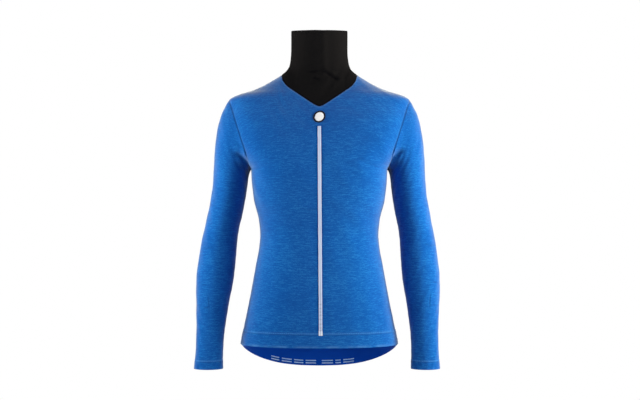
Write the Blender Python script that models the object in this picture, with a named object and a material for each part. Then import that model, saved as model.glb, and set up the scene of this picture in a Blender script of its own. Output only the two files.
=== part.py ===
"""Long-sleeve base layer with a high neck, as it sits on a wearer.

The body is a front and a back, joined at the side and shoulder seams. Each sleeve is set into a
straight armhole, and the collar is a high tube whose front runs down into a V on the chest.
Every piece is a thin wall of cloth, open at the neck, the cuffs and the hem.

Tables and sizes are in millimetres. +Z is up, the front faces -Y and the wearer's left is +X.
The origin lies on the centre line, level with the points where the shoulder seams meet the collar.
"""

import math
from collections import namedtuple

import bmesh
import bpy
from mathutils import Vector

MM = 0.001
EDGE_ANGLE = math.radians(50)  # faces that meet more sharply than this keep a sharp edge

# ---------------------------------------------------------------- driving sizes, in millimetres
CLOTH = 1.2  # thickness of the knit
TURN_UP = 1.0  # how much thicker a turned hem is, on the inside
SEAM_GAP = 0.3  # between the edges of two pieces at a seam
LIFT = 0.3  # between a panel and what lies on it

FRONT_HEM_Z = -631.0
TAIL_DROP = 65.0  # centre back hem below the front hem
TAIL_BREADTH = 2.5  # how far round the tail stays low before it rises: higher is broader
TAIL_RISE = 0.66  # how steeply it then rises to the side seams: lower is steeper
BODY_HEM = 33.0  # height of the body's turned hem
CUFF_HEM = 20.0
TURN_STEP = 2.0  # over which a turned hem thins to a single wall

NECK_SIDE = Vector((88.5, 0.0))  # (x, z) where the shoulder seam meets the collar
V_TIP_Z = -79.0
V_LEG_END = Vector((64.0, -38.5))  # (x, z) where the straight leg of the V begins to turn up
V_TURN = Vector((86.0, -24.6))  # control point of that turn
SHOULDER_TIP = Vector((212.0, -60.0))  # (x, z) top end of the armhole
UNDERARM = Vector((159.5, -224.0))  # (x, z) bottom end of the armhole

STRIPE_HALF_WIDTH = 4.7
STRIPE_TOP_Z = -125.5
STRIPE_BOTTOM_Z = -602.0
STRIPE_LEAN = 3.0  # its lower end stands this far towards the wearer's left
STRIPE_THICK = 0.6

BADGE_Z = -104.0
BADGE_RADIUS = 14.0
BADGE_STRETCH = 1.05  # it is pulled this much longer along its slant, and shorter across it
BADGE_SLANT = math.radians(42)  # from the wearer's right hip towards the left shoulder
BADGE_RIM = 3.2
BADGE_THICK = 0.7

# How finely the cloth is faceted
NECK_COLUMNS = 6  # on each half of a panel, along the neckline
SHOULDER_COLUMNS = 6  # on each half of a panel, along the shoulder seam
LOWER_ROWS = 10  # from the turned hem to the underarm
ARMHOLE_ROWS = 9
SLEEVE_RINGS = 21
COLLAR_ROWS = 9
BADGE_SIDES = 28
EDGE_PULL = 4  # how close to the armhole a panel's rows begin to follow its points

# ---------------------------------------------------------------- the figure that fills the cloth
# Half width of the body at each height. Above the underarm it is that of the body with its
# shoulder, so the shoulder seam is where a point's x equals it.
WidthRow = namedtuple("WidthRow", "z half_width")
BODY_WIDTHS = (
    WidthRow(-700, 190.0),
    WidthRow(-630, 184.5),
    WidthRow(-585, 175.5),
    WidthRow(-527, 163.5),
    WidthRow(-443, 148.0),
    WidthRow(-405, 141.0),
    WidthRow(-376, 138.5),
    WidthRow(-345, 141.0),
    WidthRow(-294, 153.0),
    WidthRow(-262, 157.0),
    WidthRow(-224, 159.5),
    WidthRow(-205, 172.0),
    WidthRow(-180, 194.0),
    WidthRow(-142, 219.0),
    WidthRow(-105, 224.0),
    WidthRow(-80, 219.0),
    WidthRow(-60, 212.0),
    WidthRow(-53, 203.0),
    WidthRow(-46, 186.0),
    WidthRow(-38.5, 160.0),
    WidthRow(-25.5, 130.0),
    WidthRow(-11, 105.0),
    WidthRow(0, 88.5),
    WidthRow(12, 76.0),
)
# Depth of the body in front of and behind the seam line, and how square its section is there:
# the exponent of a superellipse, 2 for an ellipse
DepthRow = namedtuple("DepthRow", "z front back square")
BODY_DEPTHS = (
    DepthRow(-700, 111.0, 110.0, 2.25),
    DepthRow(-630, 110.0, 108.0, 2.25),
    DepthRow(-527, 108.0, 101.0, 2.3),
    DepthRow(-450, 105.0, 93.0, 2.3),
    DepthRow(-378, 105.0, 90.0, 2.35),
    DepthRow(-294, 114.0, 101.0, 2.6),
    DepthRow(-235, 119.0, 111.0, 2.9),
    DepthRow(-190, 116.0, 115.0, 2.7),
    DepthRow(-142, 107.0, 112.0, 2.4),
    DepthRow(-105, 96.0, 104.0, 2.3),
    DepthRow(-60, 77.0, 90.0, 2.25),
    DepthRow(-30, 63.0, 78.0, 2.25),
    DepthRow(0, 50.0, 64.0, 2.2),
    DepthRow(12, 46.0, 58.0, 2.2),
)
# A sleeve's rings, from the armhole to the cuff: where each crosses the sleeve's outer and inner
# line as seen from the front, its middle and half depth from front to back, and how much of its
# depth is the arm's and not the armhole's.
Ring = namedtuple("Ring", "outer_x outer_z inner_x inner_z middle_y half_depth arm_share")
SLEEVE = (
    Ring(212.0, -60, 159.5, -224, 1, 54.0, 0.0),
    Ring(223.0, -77, 161.7, -226.5, 1, 54.0, 0.4),
    Ring(232.5, -101, 163.6, -230, 1, 54.0, 0.68),
    Ring(239.5, -131, 165.2, -235, 2, 54.0, 0.85),
    Ring(244.7, -168, 166.6, -242, 2, 53.5, 0.95),
    Ring(247.2, -205, 167.8, -252, 3, 53.0, 1.0),
    Ring(249.0, -240, 169.4, -265, 4, 52.0, 1.0),
    Ring(252.0, -275, 171.8, -283, 4, 51.0, 1.0),
    Ring(261.8, -330, 180.2, -330, 5, 49.0, 1.0),
    Ring(267.7, -358, 186.7, -358, 6, 48.0, 1.0),
    Ring(273.7, -386, 190.7, -386, 6, 47.0, 1.0),
    Ring(280.5, -430, 193.8, -430, 4, 46.0, 1.0),
    Ring(285.2, -471, 197.2, -471, -1, 44.5, 1.0),
    Ring(285.9, -499, 201.2, -499, -5, 42.5, 1.0),
    Ring(284.8, -527, 206.4, -527, -10, 39.5, 1.0),
    Ring(283.0, -570, 212.6, -570, -18, 35.0, 1.0),
    Ring(282.2, -612, 217.3, -612, -26, 31.5, 1.0),
    Ring(283.2, -650, 218.6, -650, -32, 30.5, 1.0),
    Ring(285.6, -685, 218.0, -685, -37, 31.5, 1.0),
)
ARM_SWING = 5.5  # the right cuff hangs this much further out, and the left this much further in
SWING_TOP_Z = -240.0

# The collar's rings above the neckline: height at the side, how much the front dips and the back
# rises, half width, and the front and back lines.
NeckRing = namedtuple("NeckRing", "z tilt half_width front_y back_y")
COLLAR = (
    NeckRing(22.0, 2.0, 74.0, -57.0, 57.0),
    NeckRing(58.0, 4.0, 67.3, -63.0, 52.0),
    NeckRing(103.0, 7.3, 66.3, -77.0, 47.0),
)
COLLAR_LIFT = 26.0  # how far the collar runs on along the chest before it turns up to the neck

Colour = namedtuple("Colour", "red green blue roughness")
BLUE_KNIT = Colour(0.045, 0.190, 0.550, 0.80)
BLACK_KNIT = Colour(0.010, 0.010, 0.012, 0.75)
PALE_TAPE = Colour(0.480, 0.540, 0.760, 0.45)
BADGE_INK = Colour(0.012, 0.016, 0.035, 0.50)
BADGE_WHITE = Colour(0.850, 0.860, 0.880, 0.50)


# ---------------------------------------------------------------- curves through a table's rows
def slopes_of(places, values):
    """Slopes of the monotone cubic through the values, so that it never overshoots them."""
    rises = [
        (values[i + 1] - values[i]) / (places[i + 1] - places[i]) for i in range(len(places) - 1)
    ]
    slopes = [rises[0]]
    for before, after in zip(rises, rises[1:]):
        slopes.append(0.0 if before * after <= 0 else 2 * before * after / (before + after))
    return slopes + [rises[-1]]


def curve_through(places, values):
    """A function that reads the monotone cubic through the values at any place."""
    slopes = slopes_of(places, values)

    def read(place):
        place = min(max(place, places[0]), places[-1])
        i = next(k for k in range(len(places) - 1) if place <= places[k + 1])
        width = places[i + 1] - places[i]
        t = (place - places[i]) / width
        return (
            values[i] * (1 + 2 * t) * (1 - t) ** 2
            + slopes[i] * width * t * (1 - t) ** 2
            + values[i + 1] * t * t * (3 - 2 * t)
            + slopes[i + 1] * width * t * t * (t - 1)
        )

    return read


def column_curve(rows, name):
    """The curve of one named column of a table against its heights."""
    return curve_through([row.z for row in rows], [getattr(row, name) for row in rows])


half_width_at = column_curve(BODY_WIDTHS, "half_width")
front_depth_at = column_curve(BODY_DEPTHS, "front")
back_depth_at = column_curve(BODY_DEPTHS, "back")
squareness_at = column_curve(BODY_DEPTHS, "square")


# ---------------------------------------------------------------- the body's surface
def depth_at(facing, z):
    """Depth of the body at a height. Facing is -1 for the front and 1 for the back."""
    return front_depth_at(z) if facing < 0 else back_depth_at(z)


def body_point(facing, x, z):
    """The point of the body's surface that the front or back view shows at (x, z)."""
    share = min(1.0, abs(x) / half_width_at(z))
    square = squareness_at(z)
    reach = (1 - share**square) ** (1 / square)
    return Vector((x, facing * depth_at(facing, z) * reach, z))


def body_level(point):
    """Below 1 inside the body, 1 on its surface."""
    facing = -1 if point.y < 0 else 1
    across = abs(point.x) / half_width_at(point.z)
    through = abs(point.y) / depth_at(facing, point.z)
    square = squareness_at(point.z)
    return across**square + through**square


def body_normal(point):
    """Outward normal of the body's surface, from the gradient of its level."""
    step = 0.05
    steps = (Vector((step, 0, 0)), Vector((0, step, 0)), Vector((0, 0, step)))
    return Vector([body_level(point + d) - body_level(point - d) for d in steps]).normalized()


# ---------------------------------------------------------------- edges of the panels, as (x, z)
def neckline(share):
    """The front neckline, from the tip of the V at 0 to the shoulder seam at 1."""
    leg_share = 0.6
    if share <= leg_share:
        return Vector((0.0, V_TIP_Z)).lerp(V_LEG_END, share / leg_share)
    t = (share - leg_share) / (1 - leg_share)
    return V_LEG_END.lerp(V_TURN, t).lerp(V_TURN.lerp(NECK_SIDE, t), t)


def back_neckline(share):
    """The back neckline lies level with the shoulder seams' upper ends."""
    return Vector((NECK_SIDE.x * math.sin(share * math.pi / 2), NECK_SIDE.y))


def shoulder_seam(share):
    """The shoulder seam, from the collar at 0 to the shoulder tip at 1."""
    z = NECK_SIDE.y + (SHOULDER_TIP.y - NECK_SIDE.y) * share
    return Vector((half_width_at(z), z))


def top_edge(facing, column):
    """(x, z) of the panel's top edge at a column, counted from the centre line."""
    if column <= NECK_COLUMNS:
        curve = neckline if facing < 0 else back_neckline
        return curve(column / NECK_COLUMNS)
    return shoulder_seam((column - NECK_COLUMNS) / SHOULDER_COLUMNS)


def armhole_point(z):
    """(x, z) of the straight armhole seam at a height."""
    share = (z - UNDERARM.y) / (SHOULDER_TIP.y - UNDERARM.y)
    return Vector((UNDERARM.x + (SHOULDER_TIP.x - UNDERARM.x) * share, z))


def hem_z(facing, share):
    """Height of the hem at a share of the half width: level in front, curved down behind."""
    if facing < 0:
        return FRONT_HEM_Z
    return FRONT_HEM_Z - TAIL_DROP * max(0.0, 1 - share**TAIL_BREADTH) ** TAIL_RISE


# ---------------------------------------------------------------- directions at the armhole
ARMHOLE_UP = Vector(
    (SHOULDER_TIP.x - UNDERARM.x, 0, SHOULDER_TIP.y - UNDERARM.y)
).normalized()


def armhole_angle(z):
    """Angle round the armhole, 0 at the shoulder tip and pi at the underarm."""
    middle = (SHOULDER_TIP.y + UNDERARM.y) / 2
    return math.acos(max(-1.0, min(1.0, (z - middle) / (SHOULDER_TIP.y - middle))))


def armhole_normal(side, facing, z):
    """Normal of the cloth at the armhole seam, which both pieces there share."""
    angle = armhole_angle(z)
    up = Vector((side * ARMHOLE_UP.x, 0, ARMHOLE_UP.z))
    return (up * math.cos(angle) + Vector((0, facing, 0)) * math.sin(angle)).normalized()


def armhole_outer(side, facing, z):
    """Point of the armhole seam on the outside of the cloth."""
    x, _ = armhole_point(z)
    point = body_point(facing, x, z)
    if z in (SHOULDER_TIP.y, UNDERARM.y):
        point.y = 0.0
    return Vector((side * point.x, point.y, point.z))


def armhole_heights():
    """Heights of the armhole's points, even round the seam."""
    middle = (SHOULDER_TIP.y + UNDERARM.y) / 2
    half = SHOULDER_TIP.y - middle
    heights = [middle - half * math.cos(math.pi * i / ARMHOLE_ROWS) for i in range(ARMHOLE_ROWS)]
    return [UNDERARM.y] + heights[1:] + [SHOULDER_TIP.y]


# ---------------------------------------------------------------- closed solids from grids
def pulled_in(edge, inside, along):
    """The edge point, moved in until it is half a seam gap from the seam."""
    inward = (inside - edge).normalized()
    slant = inward.cross(along.normalized()).length
    return edge + inward * (SEAM_GAP / 2 / max(slant, 0.3))


def material_of(name, colour):
    """The material of one colour of cloth, made on first use."""
    material = bpy.data.materials.get(name)
    if material is None:
        material = bpy.data.materials.new(name)
        material.use_nodes = True
        shader = material.node_tree.nodes["Principled BSDF"]
        shader.inputs["Base Color"].default_value = (*colour[:3], 1.0)
        shader.inputs["Roughness"].default_value = colour.roughness
        shader.inputs["Metallic"].default_value = 0.0
    return material


def finish_piece(name, mesh, material):
    """The object of a closed mesh, its faces split across their shorter diagonals."""
    bmesh.ops.triangulate(mesh, faces=mesh.faces, quad_method="SHORT_EDGE")
    bmesh.ops.recalc_face_normals(mesh, faces=mesh.faces)
    data = bpy.data.meshes.new(name)
    mesh.to_mesh(data)
    mesh.free()
    data.materials.append(material)
    data.shade_smooth()
    data.set_sharp_from_angle(angle=EDGE_ANGLE)
    piece = bpy.data.objects.new(name, data)
    bpy.context.scene.collection.objects.link(piece)


def solid_between(name, outer, inner, round_piece, material):
    """One closed object between two grids of points. A round piece's columns meet again."""
    rows, columns = len(outer), len(outer[0])
    mesh = bmesh.new()
    grids = [[[mesh.verts.new(p * MM) for p in row] for row in grid] for grid in (outer, inner)]
    spans = [(c, (c + 1) % columns) for c in range(columns if round_piece else columns - 1)]
    for grid in grids:
        for r in range(rows - 1):
            for a, b in spans:
                mesh.faces.new((grid[r][a], grid[r][b], grid[r + 1][b], grid[r + 1][a]))
    out, back = grids
    for r in (0, rows - 1):
        for a, b in spans:
            mesh.faces.new((out[r][a], out[r][b], back[r][b], back[r][a]))
    if not round_piece:
        for c in (0, columns - 1):
            for r in range(rows - 1):
                mesh.faces.new((out[r][c], out[r + 1][c], back[r + 1][c], back[r][c]))
    finish_piece(name, mesh, material)


def grid_normals(grid, round_piece):
    """Normals of a grid by its neighbours, with columns running to the left as seen outside."""
    rows, columns = len(grid), len(grid[0])
    normals = []
    for r in range(rows):
        line = []
        for c in range(columns):
            up = grid[min(r + 1, rows - 1)][c] - grid[max(r - 1, 0)][c]
            if round_piece:
                across = grid[r][(c + 1) % columns] - grid[r][c - 1]
            else:
                across = grid[r][min(c + 1, columns - 1)] - grid[r][max(c - 1, 0)]
            line.append(across.cross(up).normalized())
        normals.append(line)
    return normals


def moved(grid, normals, distance):
    """The grid moved along its normals. Distance is one number, or one for each row."""
    distances = distance if isinstance(distance, list) else [distance] * len(grid)
    return [
        [point + normal * d for point, normal in zip(line, line_normals)]
        for line, line_normals, d in zip(grid, normals, distances)
    ]


# ---------------------------------------------------------------- front and back
def panel_rows(facing, share, top):
    """Heights of a panel's rows at one column, from the hem up, for a column's share and top."""
    hem = hem_z(facing, share)
    rows = [hem, hem + BODY_HEM, hem + BODY_HEM + TURN_STEP]
    rows += [rows[2] + (UNDERARM.y - rows[2]) * i / LOWER_ROWS for i in range(1, LOWER_ROWS + 1)]
    for i, z in enumerate(armhole_heights()[1:], start=1):
        # The rows end as the armhole's points do at the edge, and are even across the chest
        at_armhole = (z - UNDERARM.y) / (SHOULDER_TIP.y - UNDERARM.y)
        rise = i / ARMHOLE_ROWS + (at_armhole - i / ARMHOLE_ROWS) * share**EDGE_PULL
        rows.append(UNDERARM.y + (top - UNDERARM.y) * rise)
    return rows


def panel_grid(facing):
    """Outer points and normals of the front (-1) or back (1), a row at a time from the hem."""
    last = NECK_COLUMNS + SHOULDER_COLUMNS
    columns = range(-last, last + 1)
    n_rows = 3 + LOWER_ROWS + ARMHOLE_ROWS
    underarm_row = 2 + LOWER_ROWS
    grid, normals = [], []
    for r in range(n_rows):
        line, line_normals = [], []
        rise = max(0, r - underarm_row)
        for c in columns:
            side = -1 if c < 0 else 1
            # The columns are even round the body, and above the underarm they move over until
            # they end evenly along the neckline and the shoulder seam
            share = math.sin(math.pi / 2 * abs(c) / last)
            top = top_edge(facing, abs(c))
            z = panel_rows(facing, share, top.y)[r]
            edge = armhole_point(armhole_heights()[rise]).x if rise else half_width_at(z)
            x = share * edge + (top.x - share * SHOULDER_TIP.x) * rise / ARMHOLE_ROWS
            point = body_point(facing, x, z)
            on_seam = abs(c) == last and (r <= underarm_row or r == n_rows - 1)
            if on_seam or (r == n_rows - 1 and abs(c) >= NECK_COLUMNS):
                point.y = 0.0
            point.x *= side
            on_armhole = abs(c) == last and r >= underarm_row
            normal = armhole_normal(side, facing, z) if on_armhole else body_normal(point)
            line.append(point)
            line_normals.append(normal)
        grid.append(line)
        normals.append(line_normals)
    return grid, normals


def with_seam_gaps(grid):
    """A panel's grid with its side, armhole, shoulder and neck edges drawn back from the seams."""
    rows, columns = len(grid), len(grid[0])
    eased = [list(line) for line in grid]
    for edge, inside in ((0, 1), (columns - 1, columns - 2)):
        for r in range(rows):
            along = grid[min(r + 1, rows - 1)][edge] - grid[max(r - 1, 0)][edge]
            eased[r][edge] = pulled_in(grid[r][edge], grid[r][inside], along)
    for c in range(columns):
        along = grid[-1][min(c + 1, columns - 1)] - grid[-1][max(c - 1, 0)]
        shift = pulled_in(grid[-1][c], grid[-2][c], along) - grid[-1][c]
        eased[-1][c] = eased[-1][c] + shift
    return eased


def hem_thicknesses(rows):
    """Thickness at each row: double along the turned hem, then plain."""
    return [-(CLOTH + TURN_UP)] * 2 + [-CLOTH] * (rows - 2)


def build_panel(name, facing, material):
    """One body panel. Returns its drawn-in grid and normals, for what lies on it."""
    grid, normals = panel_grid(facing)
    grid = with_seam_gaps(grid)
    inner = moved(grid, normals, hem_thicknesses(len(grid)))
    solid_between(name, grid, inner, False, material)
    return grid, normals


# ---------------------------------------------------------------- sleeves
def armhole_loop(side):
    """Points and normals round an armhole, from the shoulder tip by the front to the underarm."""
    heights = armhole_heights()
    stops = [(-1, z) for z in reversed(heights)] + [(1, z) for z in heights[1:-1]]
    points = [armhole_outer(side, facing, z) for facing, z in stops]
    return points, [armhole_normal(side, facing, z) for facing, z in stops]


def swing_at(side, z):
    """How far a sleeve hangs from its table at a height, outwards."""
    share = max(0.0, (z - SWING_TOP_Z) / (SLEEVE[-1].outer_z - SWING_TOP_Z))
    return -side * ARM_SWING * share


def sleeve_middle(ring):
    """(x, z) of a ring's centre."""
    return Vector(((ring.outer_x + ring.inner_x) / 2, (ring.outer_z + ring.inner_z) / 2))


def sleeve_curves():
    """Place of each table row down the sleeve, and a curve for each column."""
    middles = [sleeve_middle(ring) for ring in SLEEVE]
    places = [0.0]
    for above, below in zip(middles, middles[1:]):
        places.append(places[-1] + (below - above).length)
    curves = {
        name: curve_through(places, [getattr(ring, name) for ring in SLEEVE])
        for name in Ring._fields
    }
    return places, curves


def sleeve_stops(places):
    """Places of the rings: close round the armhole, then even, with two at the turned cuff."""
    cuff_top = places[-1] - CUFF_HEM
    cap_end = places[5]
    cap = [cap_end * (i / 6) ** 1.15 for i in range(6)]
    arm = SLEEVE_RINGS - len(cap) - 3
    return (
        cap
        + [cap_end + (cuff_top - TURN_STEP - cap_end) * i / arm for i in range(arm)]
        + [cuff_top - TURN_STEP, cuff_top, places[-1]]
    )


def sleeve_grid(side):
    """Outer points of a sleeve, a ring at a time from the armhole down."""
    seam, seam_normals = armhole_loop(side)
    places, curves = sleeve_curves()
    grid = []
    for place in sleeve_stops(places):
        ring = Ring(**{name: curve(place) for name, curve in curves.items()})
        outer = Vector((ring.outer_x + swing_at(side, ring.outer_z), ring.outer_z))
        inner = Vector((ring.inner_x + swing_at(side, ring.inner_z), ring.inner_z))
        middle, reach = (outer + inner) / 2, (outer - inner) / 2
        line = []
        for i, edge in enumerate(seam):
            angle = 2 * math.pi * i / len(seam)
            spot = middle + reach * math.cos(angle)
            arm_y = ring.middle_y - ring.half_depth * math.sin(angle)
            y = edge.y + (arm_y - edge.y) * ring.arm_share
            line.append(Vector((side * spot.x, y, spot.y)))
        grid.append(line)
    return grid, seam_normals


def build_sleeve(name, side, material):
    """One sleeve, drawn back from the armhole seam."""
    grid, seam_normals = sleeve_grid(side)
    normals = grid_normals(grid, True)
    outward = 1 if side > 0 else -1
    normals = [[n * outward for n in line] for line in normals]
    normals[0] = seam_normals
    count = len(grid[0])
    grid[0] = [
        pulled_in(grid[0][i], grid[1][i], grid[0][(i + 1) % count] - grid[0][i - 1])
        for i in range(count)
    ]
    thick = [-CLOTH] * (len(grid) - 2) + [-(CLOTH + TURN_UP)] * 2
    solid_between(name, grid, moved(grid, normals, thick), True, material)


# ---------------------------------------------------------------- collar
def neckline_loop():
    """Points round the neckline, from the tip of the V by the left shoulder and the back."""
    loop = []
    turns = 4 * NECK_COLUMNS
    for i in range(turns):
        quarter, step = divmod(i, NECK_COLUMNS)
        side = 1 if quarter < 2 else -1
        facing = -1 if quarter in (0, 3) else 1
        share = step / NECK_COLUMNS if quarter in (0, 2) else 1 - step / NECK_COLUMNS
        x, z = (neckline if facing < 0 else back_neckline)(share)
        point = body_point(facing, x, z)
        if share == 1:
            point.y = 0.0
        loop.append((Vector((side * point.x, point.y, point.z)), 2 * math.pi * i / turns))
    return loop


def neck_ring_point(ring, angle):
    """The point of a collar ring at an angle from the front, towards the left."""
    line = -ring.front_y if math.cos(angle) > 0 else ring.back_y
    return Vector(
        (
            ring.half_width * math.sin(angle),
            -line * math.cos(angle),
            ring.z - ring.tilt * math.cos(angle),
        )
    )


def collar_grid():
    """Outer points of the collar, a ring at a time from the neckline up."""
    columns = []
    for start, angle in neckline_loop():
        normal = body_normal(start)
        up_cloth = (Vector((0, 0, 1)) - normal * normal.z).normalized()
        stations = [neck_ring_point(ring, angle) for ring in COLLAR]
        along = start + up_cloth * min(COLLAR_LIFT, (stations[0] - start).length * 0.5)
        points = [start, along, *stations]
        places = [0.0]
        for a, b in zip(points, points[1:]):
            places.append(places[-1] + (b - a).length)
        axes = [curve_through(places, [p[axis] for p in points]) for axis in range(3)]
        stops = [places[-1] * i / COLLAR_ROWS for i in range(COLLAR_ROWS + 1)]
        columns.append([Vector([axis(stop) for axis in axes]) for stop in stops])
    return [list(line) for line in zip(*columns)]


def build_collar(name, material):
    """The collar, drawn back from the neck seam."""
    grid = collar_grid()
    normals = grid_normals(grid, True)
    normals[0] = [body_normal(point) for point in grid[0]]
    count = len(grid[0])
    grid[0] = [
        pulled_in(grid[0][i], grid[1][i], grid[0][(i + 1) % count] - grid[0][i - 1])
        for i in range(count)
    ]
    solid_between(name, grid, moved(grid, normals, -CLOTH), True, material)


# ---------------------------------------------------------------- what lies on the front
def build_stripe(name, front, material):
    """The centre stripe, over the heights of the front's own middle points, moved out."""
    grid, _ = front
    middle = len(grid[0]) // 2
    heights = [row[middle].z for row in grid if STRIPE_BOTTOM_Z < row[middle].z < STRIPE_TOP_Z]
    points = []
    for z in [STRIPE_BOTTOM_Z, *heights, STRIPE_TOP_Z]:
        centre = STRIPE_LEAN * (STRIPE_TOP_Z - z) / (STRIPE_TOP_Z - STRIPE_BOTTOM_Z)
        across = (-STRIPE_HALF_WIDTH, 0.0, STRIPE_HALF_WIDTH)
        points.append([body_point(-1, centre + x, z) for x in across])
    outward = [[body_normal(point) for point in line] for line in points]
    under = moved(points, outward, LIFT)
    over = moved(points, outward, LIFT + STRIPE_THICK)
    solid_between(name, over, under, False, material)


def badge_spot(radius, angle, lift):
    """A point of the badge, on the front's surface and lifted off it."""
    along = radius * BADGE_STRETCH * math.cos(angle)
    across = radius / BADGE_STRETCH * math.sin(angle)
    x = along * math.cos(BADGE_SLANT) - across * math.sin(BADGE_SLANT)
    z = BADGE_Z + along * math.sin(BADGE_SLANT) + across * math.cos(BADGE_SLANT)
    point = body_point(-1, x, z)
    return point + body_normal(point) * lift


def badge_rings(radii, lift):
    """Rings of badge points at the given radii."""
    angles = [2 * math.pi * i / BADGE_SIDES for i in range(BADGE_SIDES)]
    return [[badge_spot(radius, angle, lift) for angle in angles] for radius in radii]


def build_badge_rim(name, material):
    """The badge's dark rim, a flat ring."""
    radii = (BADGE_RADIUS - BADGE_RIM, BADGE_RADIUS)
    over = badge_rings(radii, LIFT + BADGE_THICK)
    solid_between(name, over, badge_rings(radii, LIFT), True, material)


def build_badge_face(name, material):
    """The badge's plain face, a disc inside the rim."""
    radius = BADGE_RADIUS - BADGE_RIM - SEAM_GAP
    mesh = bmesh.new()
    rings = [badge_rings((radius,), lift)[0] for lift in (LIFT, LIFT + BADGE_THICK)]
    centres = [badge_spot(0.0, 0.0, lift) for lift in (LIFT, LIFT + BADGE_THICK)]
    edges = [[mesh.verts.new(p * MM) for p in ring] for ring in rings]
    hubs = [mesh.verts.new(p * MM) for p in centres]
    for i in range(BADGE_SIDES):
        k = (i + 1) % BADGE_SIDES
        for hub, edge in zip(hubs, edges):
            mesh.faces.new((hub, edge[i], edge[k]))
        mesh.faces.new((edges[0][i], edges[0][k], edges[1][k], edges[1][i]))
    finish_piece(name, mesh, material)


# ---------------------------------------------------------------- the garment
def main():
    """Clears the scene and makes every piece."""
    for thing in list(bpy.data.objects):
        bpy.data.objects.remove(thing)
    blue = material_of("blue_knit", BLUE_KNIT)
    front = build_panel("front", -1, blue)
    build_panel("back", 1, blue)
    build_sleeve("sleeve_left", 1, blue)
    build_sleeve("sleeve_right", -1, blue)
    build_collar("collar", material_of("black_knit", BLACK_KNIT))
    build_stripe("centre_stripe", front, material_of("pale_tape", PALE_TAPE))
    build_badge_rim("badge_rim", material_of("badge_ink", BADGE_INK))
    build_badge_face("badge_face", material_of("badge_white", BADGE_WHITE))


main()
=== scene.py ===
"""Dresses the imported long-sleeve base layer: knit cloth, seams, stitching, tape, badge and studio.

Lengths are in millimetres until a mesh is made. +Z is up, the front faces -Y and the wearer's left
is +X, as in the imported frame.
"""

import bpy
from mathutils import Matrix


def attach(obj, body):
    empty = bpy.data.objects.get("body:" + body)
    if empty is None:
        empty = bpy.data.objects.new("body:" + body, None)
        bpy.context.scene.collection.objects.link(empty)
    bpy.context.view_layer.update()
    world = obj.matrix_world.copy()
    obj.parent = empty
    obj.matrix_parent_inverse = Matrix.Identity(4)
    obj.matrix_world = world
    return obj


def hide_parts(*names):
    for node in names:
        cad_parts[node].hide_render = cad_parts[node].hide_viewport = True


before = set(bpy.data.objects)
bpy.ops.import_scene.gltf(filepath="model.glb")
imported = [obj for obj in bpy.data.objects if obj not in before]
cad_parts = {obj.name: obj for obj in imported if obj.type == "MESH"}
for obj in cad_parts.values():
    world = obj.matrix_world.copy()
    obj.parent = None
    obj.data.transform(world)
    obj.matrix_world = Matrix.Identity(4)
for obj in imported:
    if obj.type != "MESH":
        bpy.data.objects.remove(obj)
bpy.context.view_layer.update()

import logging
import math
from dataclasses import dataclass, field, fields, replace
from enum import Enum
from typing import Any, Sequence

import bpy
import numpy as np
from mathutils import Vector

MM = 0.001
UV_NAME = "cloth"  # courses run along u and wales along v, in metres
PAINTED_SHADE = "painted_shade"  # how much painted shade a point gets: in the bottoms of seams and folds, under stitches, beside and on the tape; 0 on open cloth
RIDGE = "ridge"  # 1 on a raised edge, painted paler for wear and as a highlight, and on the tape's end block
PAINTED_LIGHT_INSIDE = "inner"  # 1 on the side that lies against the wearer, painted a brighter blue as light on that shaded side
FAR = 99.0  # a distance past the reach of every seam
CRISP = math.radians(48)  # faces that meet at a sharper turn than this keep a crisp edge
WAVE_RATES = (0.62, 1.0, 1.57, 2.3)  # of an uneven line's waves: out of step all along a piece
WAVE_SUM = 2.1  # brings the crests of their sum to about 1
ROLL_WAVES = 7  # waves in a rolling surface
ROLL_RATES = (0.6, 1.5)  # the slowest and quickest of them

Array = np.ndarray
LOG = logging.getLogger("base_layer")


class Facing(Enum):
    """The half of the garment that a fold or panel is on, and the sign of its y."""

    FRONT = -1
    BACK = 1


class Side(Enum):
    """The wearer's left or right, and the sign of its x."""

    LEFT = 1
    RIGHT = -1


# ---------------------------------------------------------------- small maths
def unit(vectors: Array) -> Array:
    """Vectors scaled to length 1."""
    return vectors / np.maximum(np.linalg.norm(vectors, axis=-1, keepdims=True), 1e-12)


def eased(low: float, high: float, value: Array) -> Array:
    """0 below low, 1 above high, and a smooth step between."""
    share = np.clip((value - low) / (high - low), 0.0, 1.0)
    return share * share * (3.0 - 2.0 * share)


def bell(distance: Array, width: float) -> Array:
    """1 at no distance, falling off smoothly over the width."""
    return np.exp(-((distance / width) ** 2))


def uneven(place: Array, pitch: float, seed: int) -> Array:
    """A smooth, irregular wave along one measure.

    Args:
        place: where to read it, in millimetres.
        pitch: typical distance between its crests.
        seed: which of the possible waves.

    Returns:
        Values mostly between -1 and 1.
    """
    random = np.random.default_rng(seed)
    total = np.zeros_like(place, dtype=float)
    for rate in WAVE_RATES:
        total += np.sin(math.tau * place / pitch * rate + random.uniform(0, math.tau)) / rate
    return total / WAVE_SUM


def rolling(across: Array, along: Array, pitch: float, seed: int) -> Array:
    """Soft hollows and swells over a surface, mostly between -1 and 1.

    Args:
        across: places across the cloth, in millimetres.
        along: places along the cloth, in millimetres.
        pitch: typical distance between swells.
        seed: which of the possible surfaces.

    Returns:
        The height at each place.
    """
    random = np.random.default_rng(seed)
    total = np.zeros_like(across, dtype=float)
    for _ in range(ROLL_WAVES):
        turn, phase = random.uniform(0, math.tau, 2)
        rate = math.tau / pitch * random.uniform(*ROLL_RATES)
        total += np.sin(rate * (across * math.cos(turn) + along * math.sin(turn)) + phase)
    return total / math.sqrt(ROLL_WAVES)


def arc_lengths(points: Array, axis: int) -> Array:
    """Distance run along one axis of a line or grid of points, from its start.

    Args:
        points: the line or grid.
        axis: the axis to run along.

    Returns:
        A distance for each point.
    """
    steps = np.linalg.norm(np.diff(points, axis=axis), axis=-1)
    start = np.zeros_like(np.take(steps, [0], axis=axis))
    return np.concatenate([start, np.cumsum(steps, axis=axis)], axis=axis)


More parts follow.
